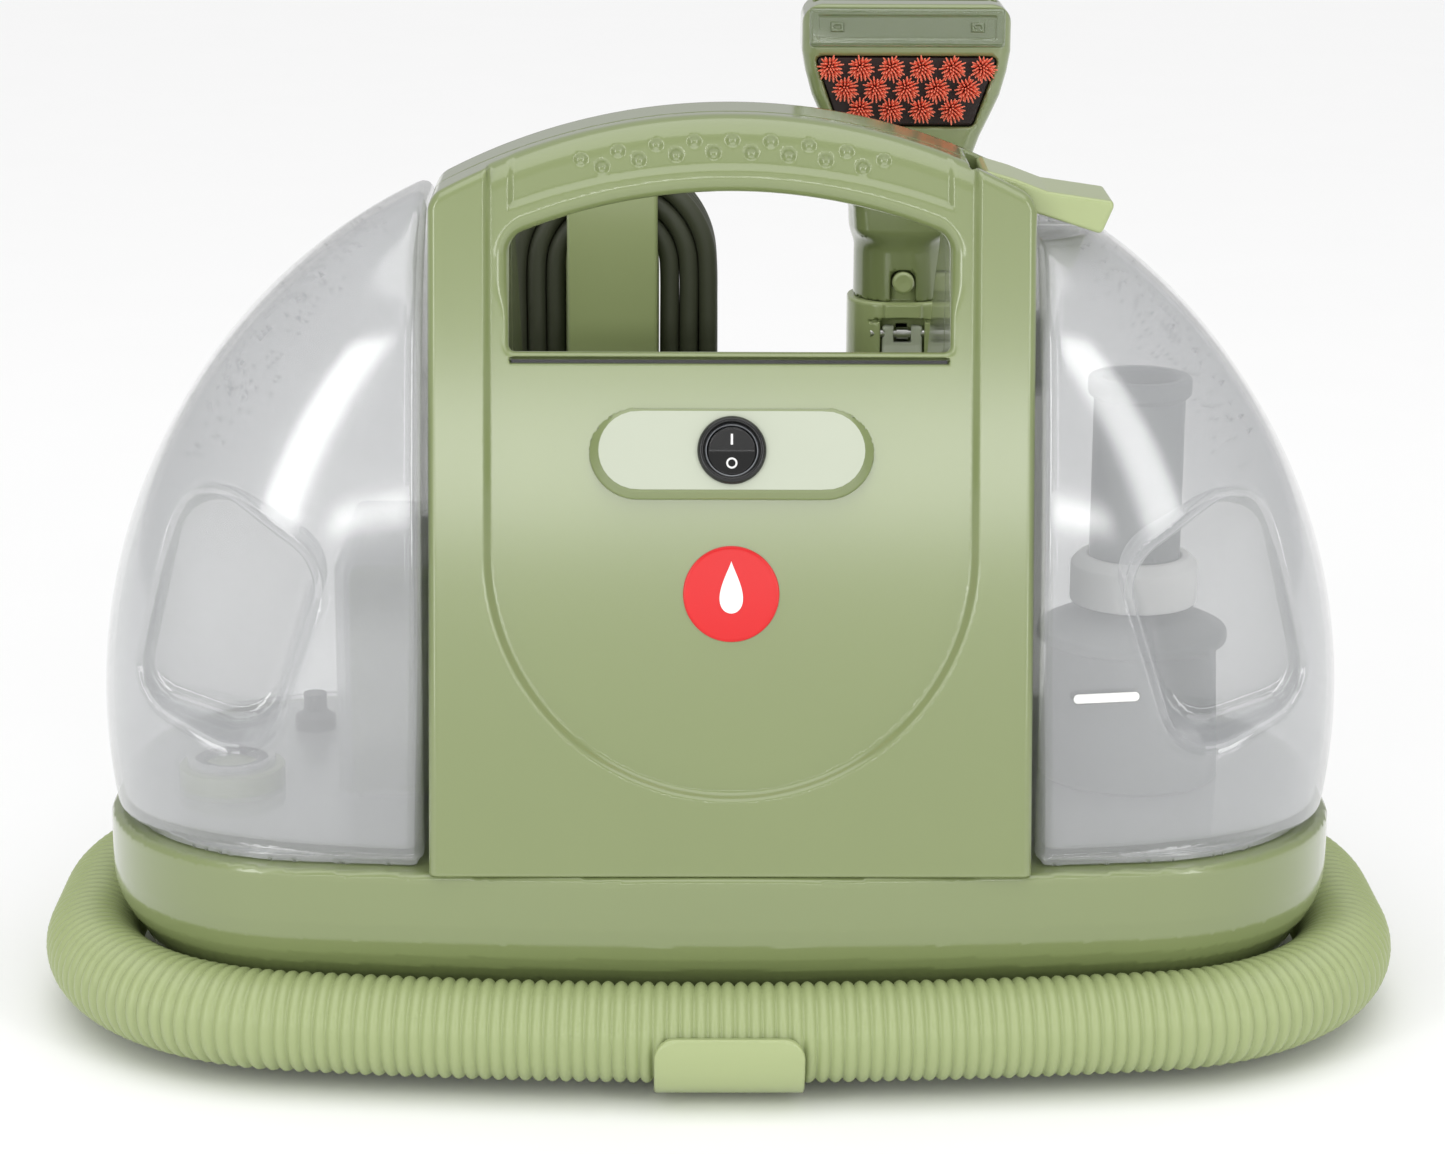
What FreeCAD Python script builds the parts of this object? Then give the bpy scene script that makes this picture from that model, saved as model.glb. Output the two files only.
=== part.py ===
import FreeCAD, Part
import Sketcher
import math
import os
import re

# Portable carpet cleaner, millimetres. X is to the operator's right, Y to the back and Z up.
# The origin is on the floor under the middle of the base.

DOC = FreeCAD.newDocument("CarpetCleaner")
SHEET = DOC.addObject("Spreadsheet::Sheet", "Sizes")

SIZES = {
    # base
    "base_half_length": 201.5, "base_half_depth": 101.5, "base_front_bend": 1200, "base_corner_bend": 74,
    "base_bottom": 4, "base_top": 70, "base_wall": 3, "base_skirt_inset": 14, "base_skirt_top": 22,
    "foot_size": 9, "foot_spacing_x": 125, "foot_spacing_y": 62, "plate_gap": 0.3, "plate_thick": 2.5,
    # suction hose
    "hose_half_length": 209.6, "hose_half_depth": 107, "hose_front_bend": 1000, "hose_corner_bend": 82,
    "hose_outer": 15.85, "hose_level": 21, "hose_start_x": 28, "hose_rise_bend": 42, "hose_end_z": 140,
    "clip_width": 47, "clip_inner": 16, "clip_outer": 18.8, "clip_lip_angle": 16.5, "clip_centre_x": 2,
    # centre body
    "body_left": -92, "body_right": 96.5, "body_middle": 2.25, "body_wall": 3, "body_back": 60,
    "front_foot_y": -100.5, "front_top_y": -62, "front_top_z": 262, "arch_bend": 196, "arch_centre_z": 105,
    "grip_back_y": -14, "opening_left": -67, "opening_right": 70, "opening_bend": 179,
    "opening_centre_z": 99, "deck_front_z": 231, "deck_slope": 0.25, "split_y": -38, "front_wall": 6,
    "groove_top": 228.4,
    "panel_middle_z": 169, "panel_bend": 77, "panel_half_width": 74, "panel_sink": 2.5,
    # switch
    "pod_z": 201, "pod_length": 89, "pod_height": 31, "pod_tilt": 11.5, "bezel_outer": 10.75,
    "bezel_inner": 8.2, "bezel_thick": 2.4, "barrel_outer": 9.4, "barrel_depth": 20, "rocker_outer": 7.6,
    "rocker_thick": 5, "rocker_lean": 9,
    # tanks
    "tank_bend": 187, "tank_bend_x": 15.6, "tank_bend_z": 105, "tank_half_depth": 94, "tank_bottom": 72,
    "tank_top": 273, "tank_wall": 2.5, "tank_gap": 2, "tank_power": 3.3, "tank_foot": 70.2,
    "cap_x": -162, "cap_y": -20, "neck_inner": 12, "neck_outer": 14.5, "neck_top": 84, "cap_outer": 11.9,
    "stack_x": 137, "stack_y": -5, "stack_base": 30, "stack_rim": 31.5, "stack_step_z": 125,
    "port_y": -8, "port_z": 218,
    "tower_outer": 15, "tower_inner": 12.5, "tower_top": 210, "float_inner": 15.6, "float_outer": 22,
    "pump_cover_left": -122, "pump_cover_front": -28, "pump_cover_back": 46, "pump_cover_top": 150,
    # latch
    "latch_front": -50, "latch_back": -20, "latch_pin_x": 87, "latch_pin_z": 277, "latch_pin_size": 1.5,
    "latch_nose_x": 121, "latch_notch_z": 261.5,
    # motor, fan and pump
    "motor_x": 2, "motor_y": -20, "motor_outer": 36, "motor_bottom": 95, "motor_top": 160,
    "armature_outer": 25, "shaft_size": 4, "fan_outer": 47, "fan_top": 92, "impeller_outer": 41,
    "plunger_size": 4,
    # cord
    "cord_size": 3.3, "hank_x": -37, "hank_y": 79, "hank_top": 268, "hank_bottom": 120,
    "hank_half_width": 36, "hank_core": 16.2, "hank_depth": 26.4,
    # wand and nozzle
    "wand_x": 63, "wand_y": 82, "wand_bottom": 160, "wand_joint": 220, "wand_half_width": 18.5,
    "wand_half_depth": 17, "spigot_outer": 13.4, "neck_bore": 13.9, "button_size": 3.8, "button_z": 227,
    "nozzle_half_width": 35.5, "nozzle_half_depth": 14, "nozzle_top": 322, "trigger_pin_z": 209,
}

for row, (alias, number) in enumerate(SIZES.items(), start=1):
    SHEET.set(f"A{row}", alias)
    SHEET.set(f"B{row}", str(number))
    SHEET.setAlias(f"B{row}", alias)
DOC.recompute()

Vector = FreeCAD.Vector
X_AXIS = Vector(1, 0, 0)
Y_AXIS = Vector(0, 1, 0)
Z_AXIS = Vector(0, 0, 1)
TURNS = {
    "X": FreeCAD.Rotation(Y_AXIS, 90),
    "Y": FreeCAD.Rotation(X_AXIS, -90),
    "Z": FreeCAD.Rotation(),
}
NODES = []


# ---- helpers -------------------------------------------------------------------------------

def formula(text):
    """Sheet expression for a formula written with the aliases alone."""
    return re.sub(r"[a-z]\w+", r"Sizes.\g<0>", str(text))


def size(text):
    """Number that a formula of sheet aliases stands for."""
    return float(SHEET.evalExpression(re.sub(r"\bSizes\.", "", formula(text))))


def bind(feature, **formulas):
    """Tie properties to the sheet; x, y and z stand for the placement's position."""
    places = {"x": "Placement.Base.x", "y": "Placement.Base.y", "z": "Placement.Base.z"}
    for name, text in formulas.items():
        feature.setExpression(places.get(name, name), formula(text))


def node(feature):
    """Mark a feature as one of the kept sub-parts."""
    NODES.append(feature)
    return feature


def shape_node(label, shape):
    """A sub-part whose shape is made with Part's own functions."""
    feature = DOC.addObject("Part::Feature", label)
    feature.Shape = shape
    return node(feature)


def cylinder(label, axis, x, y, z, radius, height):
    """Cylinder that starts at x, y, z and runs along the positive axis."""
    feature = DOC.addObject("Part::Cylinder", label)
    feature.Placement = FreeCAD.Placement(Vector(), TURNS[axis])
    bind(feature, x=x, y=y, z=z, Radius=radius, Height=height)
    return feature


def block(label, x, y, z, length, width, height):
    feature = DOC.addObject("Part::Box", label)
    bind(feature, x=x, y=y, z=z, Length=length, Width=width, Height=height)
    return feature


def cut(label, base, tool):
    feature = DOC.addObject("Part::Cut", label)
    feature.Base = base
    feature.Tool = tool
    return feature


def fuse(label, *features):
    feature = DOC.addObject("Part::MultiFuse", label)
    feature.Shapes = list(features)
    return feature


def group(label, features):
    """Separate solids that share one sub-part."""
    feature = DOC.addObject("Part::Compound", label)
    feature.Links = list(features)
    return feature


def origin_plane(body, role):
    return next(item for item in body.Origin.OriginFeatures if item.Role == role)


def new_sketch(body, name, role):
    sketch = body.newObject("Sketcher::SketchObject", name)
    sketch.AttachmentSupport = (origin_plane(body, role), [""])
    sketch.MapMode = "FlatFace"
    return sketch


def draw_polygon(sketch, corners):
    """Closed polygon whose corners are pairs of formulas, each bound to the sheet."""
    points = [Vector(size(across), size(up), 0) for across, up in corners]
    count = len(points)
    for index in range(count):
        sketch.addGeometry(Part.LineSegment(points[index], points[(index + 1) % count]), False)
    for index in range(count):
        sketch.addConstraint(Sketcher.Constraint("Coincident", index, 2, (index + 1) % count, 1))
    for index, (across, up) in enumerate(corners):
        measures = (("DistanceX", across, points[index].x), ("DistanceY", up, points[index].y))
        for kind, text, number in measures:
            place = sketch.addConstraint(Sketcher.Constraint(kind, -1, 1, index, 1, number))
            sketch.setExpression(f"Constraints[{place}]", formula(text))


def turned_body(label, profile):
    """Body turned about its own Z axis from a profile of (radius, height) formulas."""
    body = DOC.addObject("PartDesign::Body", label)
    sketch = new_sketch(body, label + "_profile", "XZ_Plane")
    draw_polygon(sketch, profile)
    turn = body.newObject("PartDesign::Revolution", label + "_turn")
    turn.Profile = sketch
    turn.ReferenceAxis = (sketch, ["V_Axis"])
    turn.Angle = 360
    body.Tip = turn
    return body


def box_shape(low, high):
    return Part.makeBox(high[0] - low[0], high[1] - low[1], high[2] - low[2], Vector(*low))


def prism(points, along):
    """Prism of a closed polygon moved along a vector."""
    return Part.Face(Part.makePolygon(points + points[:1])).extrude(along)


def ring_shape(centre, axis, inner, outer, height):
    tube = Part.makeCylinder(outer, height, centre, axis)
    return tube.cut(Part.makeCylinder(inner, height, centre, axis))


def oval_edges(half_length, half_depth, front_bend, corner_bend, level):
    """Oval plan: long flat arcs front and back, corner arcs and straight ends.

    The edges run from the middle of the back to the left, the front, the right and round."""
    corner_x = half_length - corner_bend
    across = math.sqrt((front_bend - corner_bend) ** 2 - corner_x ** 2)
    corner_y = across - (front_bend - half_depth)
    lean = math.atan2(corner_x, across)
    touch = Vector(front_bend * math.sin(lean), front_bend * math.cos(lean) - (front_bend - half_depth), 0)
    middle = (math.pi / 2 - lean) / 2
    bend_x = corner_x + corner_bend * math.cos(middle)
    bend_y = corner_y + corner_bend * math.sin(middle)

    def at(x, y):
        return Vector(x, y, level)

    return [
        Part.Arc(at(0, half_depth), at(-front_bend * math.sin(lean / 2), front_bend * math.cos(lean / 2)
                 - (front_bend - half_depth)), at(-touch.x, touch.y)).toShape(),
        Part.Arc(at(-touch.x, touch.y), at(-bend_x, bend_y), at(-half_length, corner_y)).toShape(),
        Part.LineSegment(at(-half_length, corner_y), at(-half_length, -corner_y)).toShape(),
        Part.Arc(at(-half_length, -corner_y), at(-bend_x, -bend_y), at(-touch.x, -touch.y)).toShape(),
        Part.Arc(at(-touch.x, -touch.y), at(0, -half_depth), at(touch.x, -touch.y)).toShape(),
        Part.Arc(at(touch.x, -touch.y), at(bend_x, -bend_y), at(half_length, -corner_y)).toShape(),
        Part.LineSegment(at(half_length, -corner_y), at(half_length, corner_y)).toShape(),
        Part.Arc(at(half_length, corner_y), at(bend_x, bend_y), at(touch.x, touch.y)).toShape(),
        Part.Arc(at(touch.x, touch.y), at(front_bend * math.sin(lean / 2), front_bend * math.cos(lean / 2)
                 - (front_bend - half_depth)), at(0, half_depth)).toShape(),
    ]


def base_oval(inset, low, high):
    """Prism of the base's plan, pulled in by inset."""
    edges = oval_edges(size("base_half_length") - inset, size("base_half_depth") - inset,
                       size("base_front_bend") - inset, size("base_corner_bend") - inset, low)
    return Part.Face(Part.Wire(edges)).extrude(Vector(0, 0, high - low))


def rounded_route(points, label):
    """Wire of straight runs joined by tangent arcs, each as large as its two runs allow."""
    corners = [Vector(*point) for point in points]
    edges = []
    radii = []
    start = corners[0]
    for before, corner, after in zip(corners, corners[1:], corners[2:]):
        into = (corner - before).normalize()
        out = (after - corner).normalize()
        half_turn = into.getAngle(out) / 2
        reach = 0.45 * min((corner - before).Length, (after - corner).Length)
        radius = reach / math.tan(half_turn)
        radii.append(round(radius, 1))
        first = corner - into * reach
        last = corner + out * reach
        inward = (out - into).normalize()
        middle = corner + inward * (radius / math.cos(half_turn) - radius)
        edges.append(Part.LineSegment(start, first).toShape())
        edges.append(Part.Arc(first, middle, last).toShape())
        start = last
    edges.append(Part.LineSegment(start, corners[-1]).toShape())
    print(label, "bend radii", radii)
    return Part.Wire(edges)


def tube_along(wire, radius, label=None):
    """Round solid along a wire."""
    start = wire.OrderedEdges[0]
    direction = start.tangentAt(start.FirstParameter)
    origin = start.valueAt(start.FirstParameter)
    section = Part.Wire(Part.makeCircle(radius, origin, direction))
    solid = wire.makePipeShell([section], True, True)
    if label:
        exact = math.pi * radius ** 2 * wire.Length
        print(label, "length", round(wire.Length, 1), "volume ratio", round(solid.Volume / exact, 4))
    return solid


# ---- base ----------------------------------------------------------------------------------

BASE_TOP = size("base_top")
BASE_BOTTOM = size("base_bottom")


def hose_route():
    """Hose centreline: once round the base, then up behind the body into the wand."""
    level = size("hose_level")
    depth = size("hose_half_depth")
    edges = oval_edges(size("hose_half_length"), depth, size("hose_front_bend"),
                       size("hose_corner_bend"), level)
    back_bend = size("hose_front_bend")

    def on_back(x):
        return Vector(x, math.sqrt(back_bend ** 2 - x ** 2) - (back_bend - depth), level)

    left_touch = edges[0].valueAt(edges[0].LastParameter)
    right_touch = edges[-1].valueAt(edges[-1].FirstParameter)
    start_x = size("hose_start_x")
    first = Part.Arc(on_back(start_x), on_back((start_x + left_touch.x) / 2), left_touch).toShape()
    bend = size("hose_rise_bend")
    wand_x = size("wand_x")
    turn = right_touch - Vector(right_touch.x - wand_x - bend, 0, 0)
    turn.y = on_back(turn.x).y
    last = Part.Arc(right_touch, on_back((right_touch.x + turn.x) / 2), turn).toShape()
    back_y = turn.y
    foot = Vector(wand_x, back_y, level + bend)
    curve = Part.Arc(turn, Vector(wand_x + bend * (1 - math.sqrt(0.5)), back_y,
                                  level + bend * (1 - math.sqrt(0.5))), foot).toShape()
    drift = (back_y - size("wand_y")) / 2
    top = size("hose_end_z")
    rise = (top - foot.z) / 2
    swing = (rise ** 2 + drift ** 2) / (2 * drift)
    half = math.atan2(rise, swing - drift) / 2
    sideways = swing * (1 - math.cos(half))
    upward = swing * math.sin(half)
    middle = Vector(wand_x, back_y - drift, foot.z + rise)
    lower = Part.Arc(foot, Vector(wand_x, back_y - sideways, foot.z + upward), middle).toShape()
    upper = Part.Arc(middle, Vector(wand_x, size("wand_y") + sideways, top - upward),
                     Vector(wand_x, size("wand_y"), top)).toShape()
    return Part.Wire([first] + edges[1:-1] + [last, curve, lower, upper])


HOSE_ROUTE = hose_route()


def base_outer():
    """Base block: upright rim, wall that curves in over the hose, and a skirt behind it."""
    skirt = size("base_skirt_inset")
    low = size("base_skirt_top")
    half = size("base_half_depth")

    def at(inset, z):
        return Vector(0, half - inset, z)

    core = skirt + 8
    profile = Part.Wire([
        Part.LineSegment(at(core, BASE_TOP), at(0.8, BASE_TOP)).toShape(),
        Part.LineSegment(at(0.8, BASE_TOP), at(0, BASE_TOP - 0.8)).toShape(),
        Part.LineSegment(at(0, BASE_TOP - 0.8), at(0, 52)).toShape(),
        Part.Arc(at(0, 52), at(1.7, 42.5), at(7, 34)).toShape(),
        Part.LineSegment(at(7, 34), at(skirt, low)).toShape(),
        Part.LineSegment(at(skirt, low), at(skirt, BASE_BOTTOM)).toShape(),
        Part.LineSegment(at(skirt, BASE_BOTTOM), at(core, BASE_BOTTOM)).toShape(),
        Part.LineSegment(at(core, BASE_BOTTOM), at(core, BASE_TOP)).toShape(),
    ])
    path = Part.Wire(oval_edges(size("base_half_length"), half, size("base_front_bend"),
                                size("base_corner_bend"), BASE_TOP))
    band = path.makePipeShell([profile], True, True)
    return band.fuse(base_oval(core - 0.5, BASE_BOTTOM, BASE_TOP)).removeSplitter()


def make_base():
    wall = size("base_wall")
    skirt = size("base_skirt_inset")
    hose_edges = Part.Wire(HOSE_ROUTE.OrderedEdges[7:])
    notch = tube_along(hose_edges, size("hose_outer") + 0.9)
    notch_wall = tube_along(hose_edges, size("hose_outer") + 0.9 + wall)
    room = base_oval(8, 38, BASE_TOP - wall).fuse(base_oval(skirt + wall, BASE_BOTTOM - 1, 38))
    room = room.cut(notch_wall)
    tray = base_outer().cut(room).cut(notch)
    shape_node("base_tray", max(tray.Solids, key=lambda solid: solid.Volume))

    plate_inset = skirt + wall + size("plate_gap")
    plate = base_oval(plate_inset, BASE_BOTTOM, BASE_BOTTOM + size("plate_thick"))
    plate = plate.cut(notch_wall)
    for x, y in screw_places():
        plate = plate.cut(Part.makeCylinder(1.8, 20, Vector(x, y, -5), Z_AXIS))
    shape_node("base_bottom_plate", plate)


def screw_places():
    return [(x, y) for x in (-150, 0, 150) for y in (-50, 50)]


make_base()

feet = []
for side_x in (-1, 1):
    for side_y in (-1, 1):
        feet.append(cylinder("foot", "Z", f"{side_x}*foot_spacing_x", f"{side_y}*foot_spacing_y", "0",
                             "foot_size", "base_bottom"))
node(group("rubber_feet", feet))

screws = []
for x, y in screw_places():
    head = cylinder("screw_head", "Z", x, y, "base_bottom - 1.6", "3.6", "1.6")
    shank = cylinder("screw_shank", "Z", x, y, "base_bottom", "1.75", "9")
    screws.append(fuse("base_screw", head, shank))
node(group("base_screws", screws))


# ---- suction hose --------------------------------------------------------------------------

hose_space = box_shape((-300, -200, 0), (300, 200, size("hose_end_z")))
shape_node("hose_tube", tube_along(HOSE_ROUTE, size("hose_outer"), "hose").common(hose_space))


def make_clip(label, side):
    """Hook of constant thickness that goes under the hose and up its outer side."""
    inner = size("clip_inner")
    outer = size("clip_outer")
    centre = Vector(size("clip_centre_x") - size("clip_width") / 2, side * size("hose_half_depth"),
                    size("hose_level"))
    lip = math.radians(size("clip_lip_angle"))

    def at(radius, angle):
        return centre + Vector(0, side * radius * math.cos(angle), radius * math.sin(angle))

    middle = (lip - math.pi / 2) / 2
    root_y = side * (size("base_half_depth") - size("base_skirt_inset") + 0.1)
    hook = Part.Wire([
        Part.Arc(at(outer, lip), at(outer, middle), at(outer, -math.pi / 2)).toShape(),
        Part.LineSegment(at(outer, -math.pi / 2), Vector(centre.x, root_y, centre.z - outer)).toShape(),
        Part.LineSegment(Vector(centre.x, root_y, centre.z - outer),
                         Vector(centre.x, root_y, centre.z - inner)).toShape(),
        Part.LineSegment(Vector(centre.x, root_y, centre.z - inner), at(inner, -math.pi / 2)).toShape(),
        Part.Arc(at(inner, -math.pi / 2), at(inner, middle), at(inner, lip)).toShape(),
        Part.LineSegment(at(inner, lip), at(outer, lip)).toShape(),
    ])
    clip = Part.Face(hook).extrude(Vector(size("clip_width"), 0, 0))
    corners = [edge for edge in clip.Edges
               if edge.Length < outer - inner + 0.1 and edge.CenterOfMass.z > centre.z]
    shape_node(label, clip.makeFillet(5, corners))


make_clip("front_hose_clip", -1)
make_clip("rear_hose_clip", 1)

cuff_collar = cylinder("cuff_collar", "X", "hose_start_x", "hose_half_depth", "hose_level",
                       "hose_outer + 0.7", "22")
cuff_root = block("cuff_root", "hose_start_x + 4", "base_half_depth - base_skirt_inset + 0.1",
                  "base_skirt_top - 13", "18", "hose_half_depth - base_half_depth + base_skirt_inset", "13")
node(fuse("hose_base_cuff", cuff_collar, cuff_root))


# ---- centre body ---------------------------------------------------------------------------

FRONT_LEAN = math.atan2(size("front_top_y - front_foot_y"), size("front_top_z - base_top"))
FRONT_NORMAL = Vector(0, -math.cos(FRONT_LEAN), math.sin(FRONT_LEAN))
MIDDLE_X = size("body_middle")


def front_y(z):
    """Y of the leaning front face at a height."""
    return size("front_foot_y") + (z - BASE_TOP) * math.tan(FRONT_LEAN)


def deck_z(y):
    """Height of the sloping deck under the handle."""
    return size("deck_front_z") - size("deck_slope") * (y - front_y(size("deck_front_z")))


def side_view_prism(points, left, right):
    return prism([Vector(left, y, z) for y, z in points], Vector(right - left, 0, 0))


def body_block(inset, front_inset):
    """Whole centre body with every outer face pulled in, handle opening not yet cut."""
    left = size("body_left") + inset
    right = size("body_right") - inset
    back = size("body_back") - inset
    outline = [
        (front_y(0) + front_inset, 0), (front_y(310) + front_inset, 310), (size("grip_back_y") - inset, 310),
        (size("grip_back_y") - inset, 268), (back - 12, 203 - inset), (back, 188 - inset), (back, 0),
    ]
    solid = side_view_prism(outline, left, right)
    arch = Part.makeCylinder(size("arch_bend") - inset, 400,
                             Vector(MIDDLE_X, -200, size("arch_centre_z")), Y_AXIS)
    above = box_shape((-300, -200, BASE_TOP), (300, 200, 400))
    return solid.common(arch).common(above)


def opening_block(outset):
    """Room under the handle, down to the sloping deck."""
    left = size("opening_left") - outset
    right = size("opening_right") + outset
    arch = Part.makeCylinder(size("opening_bend") + outset, 400,
                             Vector(MIDDLE_X, -200, size("opening_centre_z")), Y_AXIS)
    start = front_y(size("deck_front_z"))
    room = side_view_prism([(-200, size("deck_front_z") - outset), (start, size("deck_front_z") - outset),
                            (200, deck_z(200) - outset), (200, 400), (-200, 400)], left, right)
    room = room.common(arch)
    upright = [edge for edge in room.Edges if abs(edge.tangentAt(edge.FirstParameter).y) > 0.99
               and edge.CenterOfMass.z > 240]
    return room.makeFillet(4 + outset, upright)


def front_frame(x, z, proud):
    """Placement on the front face: its own Z axis is the outward normal and its X axis is X."""
    turn = FreeCAD.Rotation(X_AXIS, 90 - math.degrees(FRONT_LEAN))
    return FreeCAD.Placement(Vector(x, front_y(z), z) + FRONT_NORMAL * proud, turn)


def panel_cutter():
    """U-shaped panel that is sunk into the front face."""
    sink = size("panel_sink")
    bend = size("panel_bend")
    half = size("panel_half_width")
    round_end = Part.makeCylinder(bend, 2 * bend)
    upper = box_shape((-half, 0, 0), (half, 150, 2 * bend))
    lower = round_end.common(box_shape((-bend, -bend, 0), (bend, 12, 2 * bend)))
    cutter = lower.fuse(upper).removeSplitter()
    cutter.Placement = front_frame(MIDDLE_X, size("panel_middle_z"), -sink)
    return cutter


def switch_frame():
    """Placement at the middle of the pod's tilted face."""
    rise = math.radians(size("pod_tilt"))
    middle = size("pod_height") / 2 * math.tan(rise) + 0.6 - size("panel_sink")
    base = front_frame(MIDDLE_X, size("pod_z"), middle)
    return base.multiply(FreeCAD.Placement(Vector(), FreeCAD.Rotation(X_AXIS, -size("pod_tilt"))))


SWITCH_FRAME = switch_frame()


def barrel_hole():
    hole = Part.makeCylinder(size("barrel_outer"), 60, Vector(0, 0, -40), Z_AXIS)
    hole.Placement = SWITCH_FRAME
    return hole


def latch_pocket():
    """Pocket in the right shoulder that the lever lies and swings in."""
    return box_shape((size("latch_pin_x") - 11, size("latch_front") - 0.6, size("latch_pin_z") - 9),
                     (size("body_right") + 1, size("latch_back") + 0.6, 400))


def latch_pin_hole():
    start = Vector(size("latch_pin_x"), size("latch_front") - 4, size("latch_pin_z"))
    return Part.makeCylinder(size("latch_pin_size"), size("latch_back - latch_front") + 8, start, Y_AXIS)


def make_housings():
    wall = size("body_wall")
    outer = body_block(0, 0).cut(opening_block(0))
    room = body_block(wall, size("front_wall")).fuse(
        box_shape((size("body_left") + wall, front_y(BASE_TOP) + size("front_wall") + 1, BASE_TOP - 1),
                  (size("body_right") - wall, size("body_back") - wall, BASE_TOP + 1)))
    room = room.cut(opening_block(wall))
    pocket = latch_pocket()
    room = room.cut(box_shape((size("latch_pin_x") - 14, size("latch_front") - 5, size("latch_pin_z") - 12),
                              (size("body_right") + 1, size("latch_back") + 5, 400)))
    shell = outer.cut(room).cut(panel_cutter()).cut(barrel_hole()).cut(pocket).cut(latch_pin_hole())
    groove_y = front_y(size("groove_top"))
    shell = shell.cut(box_shape((size("opening_left"), groove_y - 10, size("groove_top") - 1.8),
                                (size("opening_right"), groove_y + 4.6, size("groove_top"))))
    window = box_shape((3, size("body_back") - wall - 1, 106), (37, size("body_back") + 1, 154))
    shell = shell.cut(window)
    for x, z in housing_screw_places():
        shell = shell.cut(Part.makeCylinder(1.8, 10, Vector(x, size("body_back") - 6, z), Y_AXIS))
    split = size("split_y")
    for label, low, high in (("front_housing", -300, split), ("rear_housing", split, 300)):
        half = shell.common(box_shape((-300, low, 0), (300, high, 400)))
        shape_node(label, max(half.Solids, key=lambda solid: solid.Volume))


def housing_screw_places():
    return [(x, z) for x in (-82, 90) for z in (92, 168)]


make_housings()

body_screws = []
for x, z in housing_screw_places():
    head = cylinder("body_screw_head", "Y", x, "body_back", z, "3.5", "1.8")
    shank = cylinder("body_screw_shank", "Y", x, "body_back - 12", z, "1.75", "12")
    body_screws.append(fuse("body_screw", head, shank))
node(group("housing_screws", body_screws))

pump_cover_outer = block("pump_cover_outer", "pump_cover_left", "pump_cover_front", "base_top",
                         "body_left - pump_cover_left", "pump_cover_back - pump_cover_front",
                         "pump_cover_top - base_top")
pump_cover_inner = block("pump_cover_inner", "pump_cover_left + body_wall", "pump_cover_front + body_wall",
                         "base_top - 1", "body_left - pump_cover_left - body_wall + 1",
                         "pump_cover_back - pump_cover_front - 2*body_wall",
                         "pump_cover_top - base_top - body_wall + 1")
node(cut("pump_cover", pump_cover_outer, pump_cover_inner))

grille_slots = []
for index in range(6):
    grille_slots.append(block("grille_slot", "7", "body_back - 5", 110 + 7 * index, "26", "10", "4"))
grille_plate = block("grille_plate", "3", "body_back - body_wall", "106", "34", "body_wall", "48")
node(cut("exhaust_grille", grille_plate, fuse("grille_slots", *grille_slots)))


# ---- switch --------------------------------------------------------------------------------

def stadium(length, height, low, high):
    """Rounded slab in its own XY plane."""
    end = height / 2
    reach = length / 2 - end
    slab = box_shape((-reach, -end, low), (reach, end, high))
    for x in (-reach, reach):
        slab = slab.fuse(Part.makeCylinder(end, high - low, Vector(x, 0, low), Z_AXIS))
    return slab.removeSplitter()


def make_pod():
    """Pod under the switch; its face tilts further back than the panel it stands on."""
    pod = stadium(size("pod_length"), size("pod_height"), 0, 20)
    pod.Placement = front_frame(MIDDLE_X, size("pod_z"), -size("panel_sink"))
    above = box_shape((-100, -100, 0), (100, 100, 100))
    above.Placement = SWITCH_FRAME
    shape_node("switch_pod", pod.cut(above).cut(barrel_hole()))


make_pod()

bezel = node(turned_body("switch_bezel", [
    ("bezel_inner", "0"), ("bezel_outer", "0"), ("bezel_outer - 0.3", "bezel_thick*0.6"),
    ("bezel_inner + 1.2", "bezel_thick"), ("bezel_inner", "bezel_thick*0.7"),
]))
barrel = node(turned_body("switch_body", [
    ("0", "-barrel_depth"), ("barrel_outer", "-barrel_depth"), ("barrel_outer", "0"),
    ("bezel_inner", "0"), ("bezel_inner", "-7"), ("0", "-7"),
]))
rocker_disc = turned_body("rocker_disc", [
    ("0", "-rocker_thick/2"), ("rocker_outer - 1", "-rocker_thick/2"), ("rocker_outer", "0"),
    ("rocker_outer - 0.3", "rocker_thick/2"), ("0", "rocker_thick/2 - 0.5"),
])
ROCKER_LEAN = FreeCAD.Placement(Vector(0, 0, -1.6), FreeCAD.Rotation(X_AXIS, size("rocker_lean")))
bezel.Placement = SWITCH_FRAME
barrel.Placement = SWITCH_FRAME
rocker_disc.Placement = SWITCH_FRAME.multiply(ROCKER_LEAN)
ROCKER_PIVOT = rocker_disc.Placement.Base
pin_reach = size("rocker_outer") + 0.3
rocker_pin = DOC.addObject("Part::Feature", "rocker_pin")
rocker_pin.Shape = Part.makeCylinder(1.2, 2 * pin_reach, ROCKER_PIVOT - X_AXIS * pin_reach, X_AXIS)
node(fuse("switch_rocker", rocker_disc, rocker_pin))
print("rocker pivot", [round(value, 3) for value in ROCKER_PIVOT])


# ---- motor, fan and pump -------------------------------------------------------------------

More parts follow.
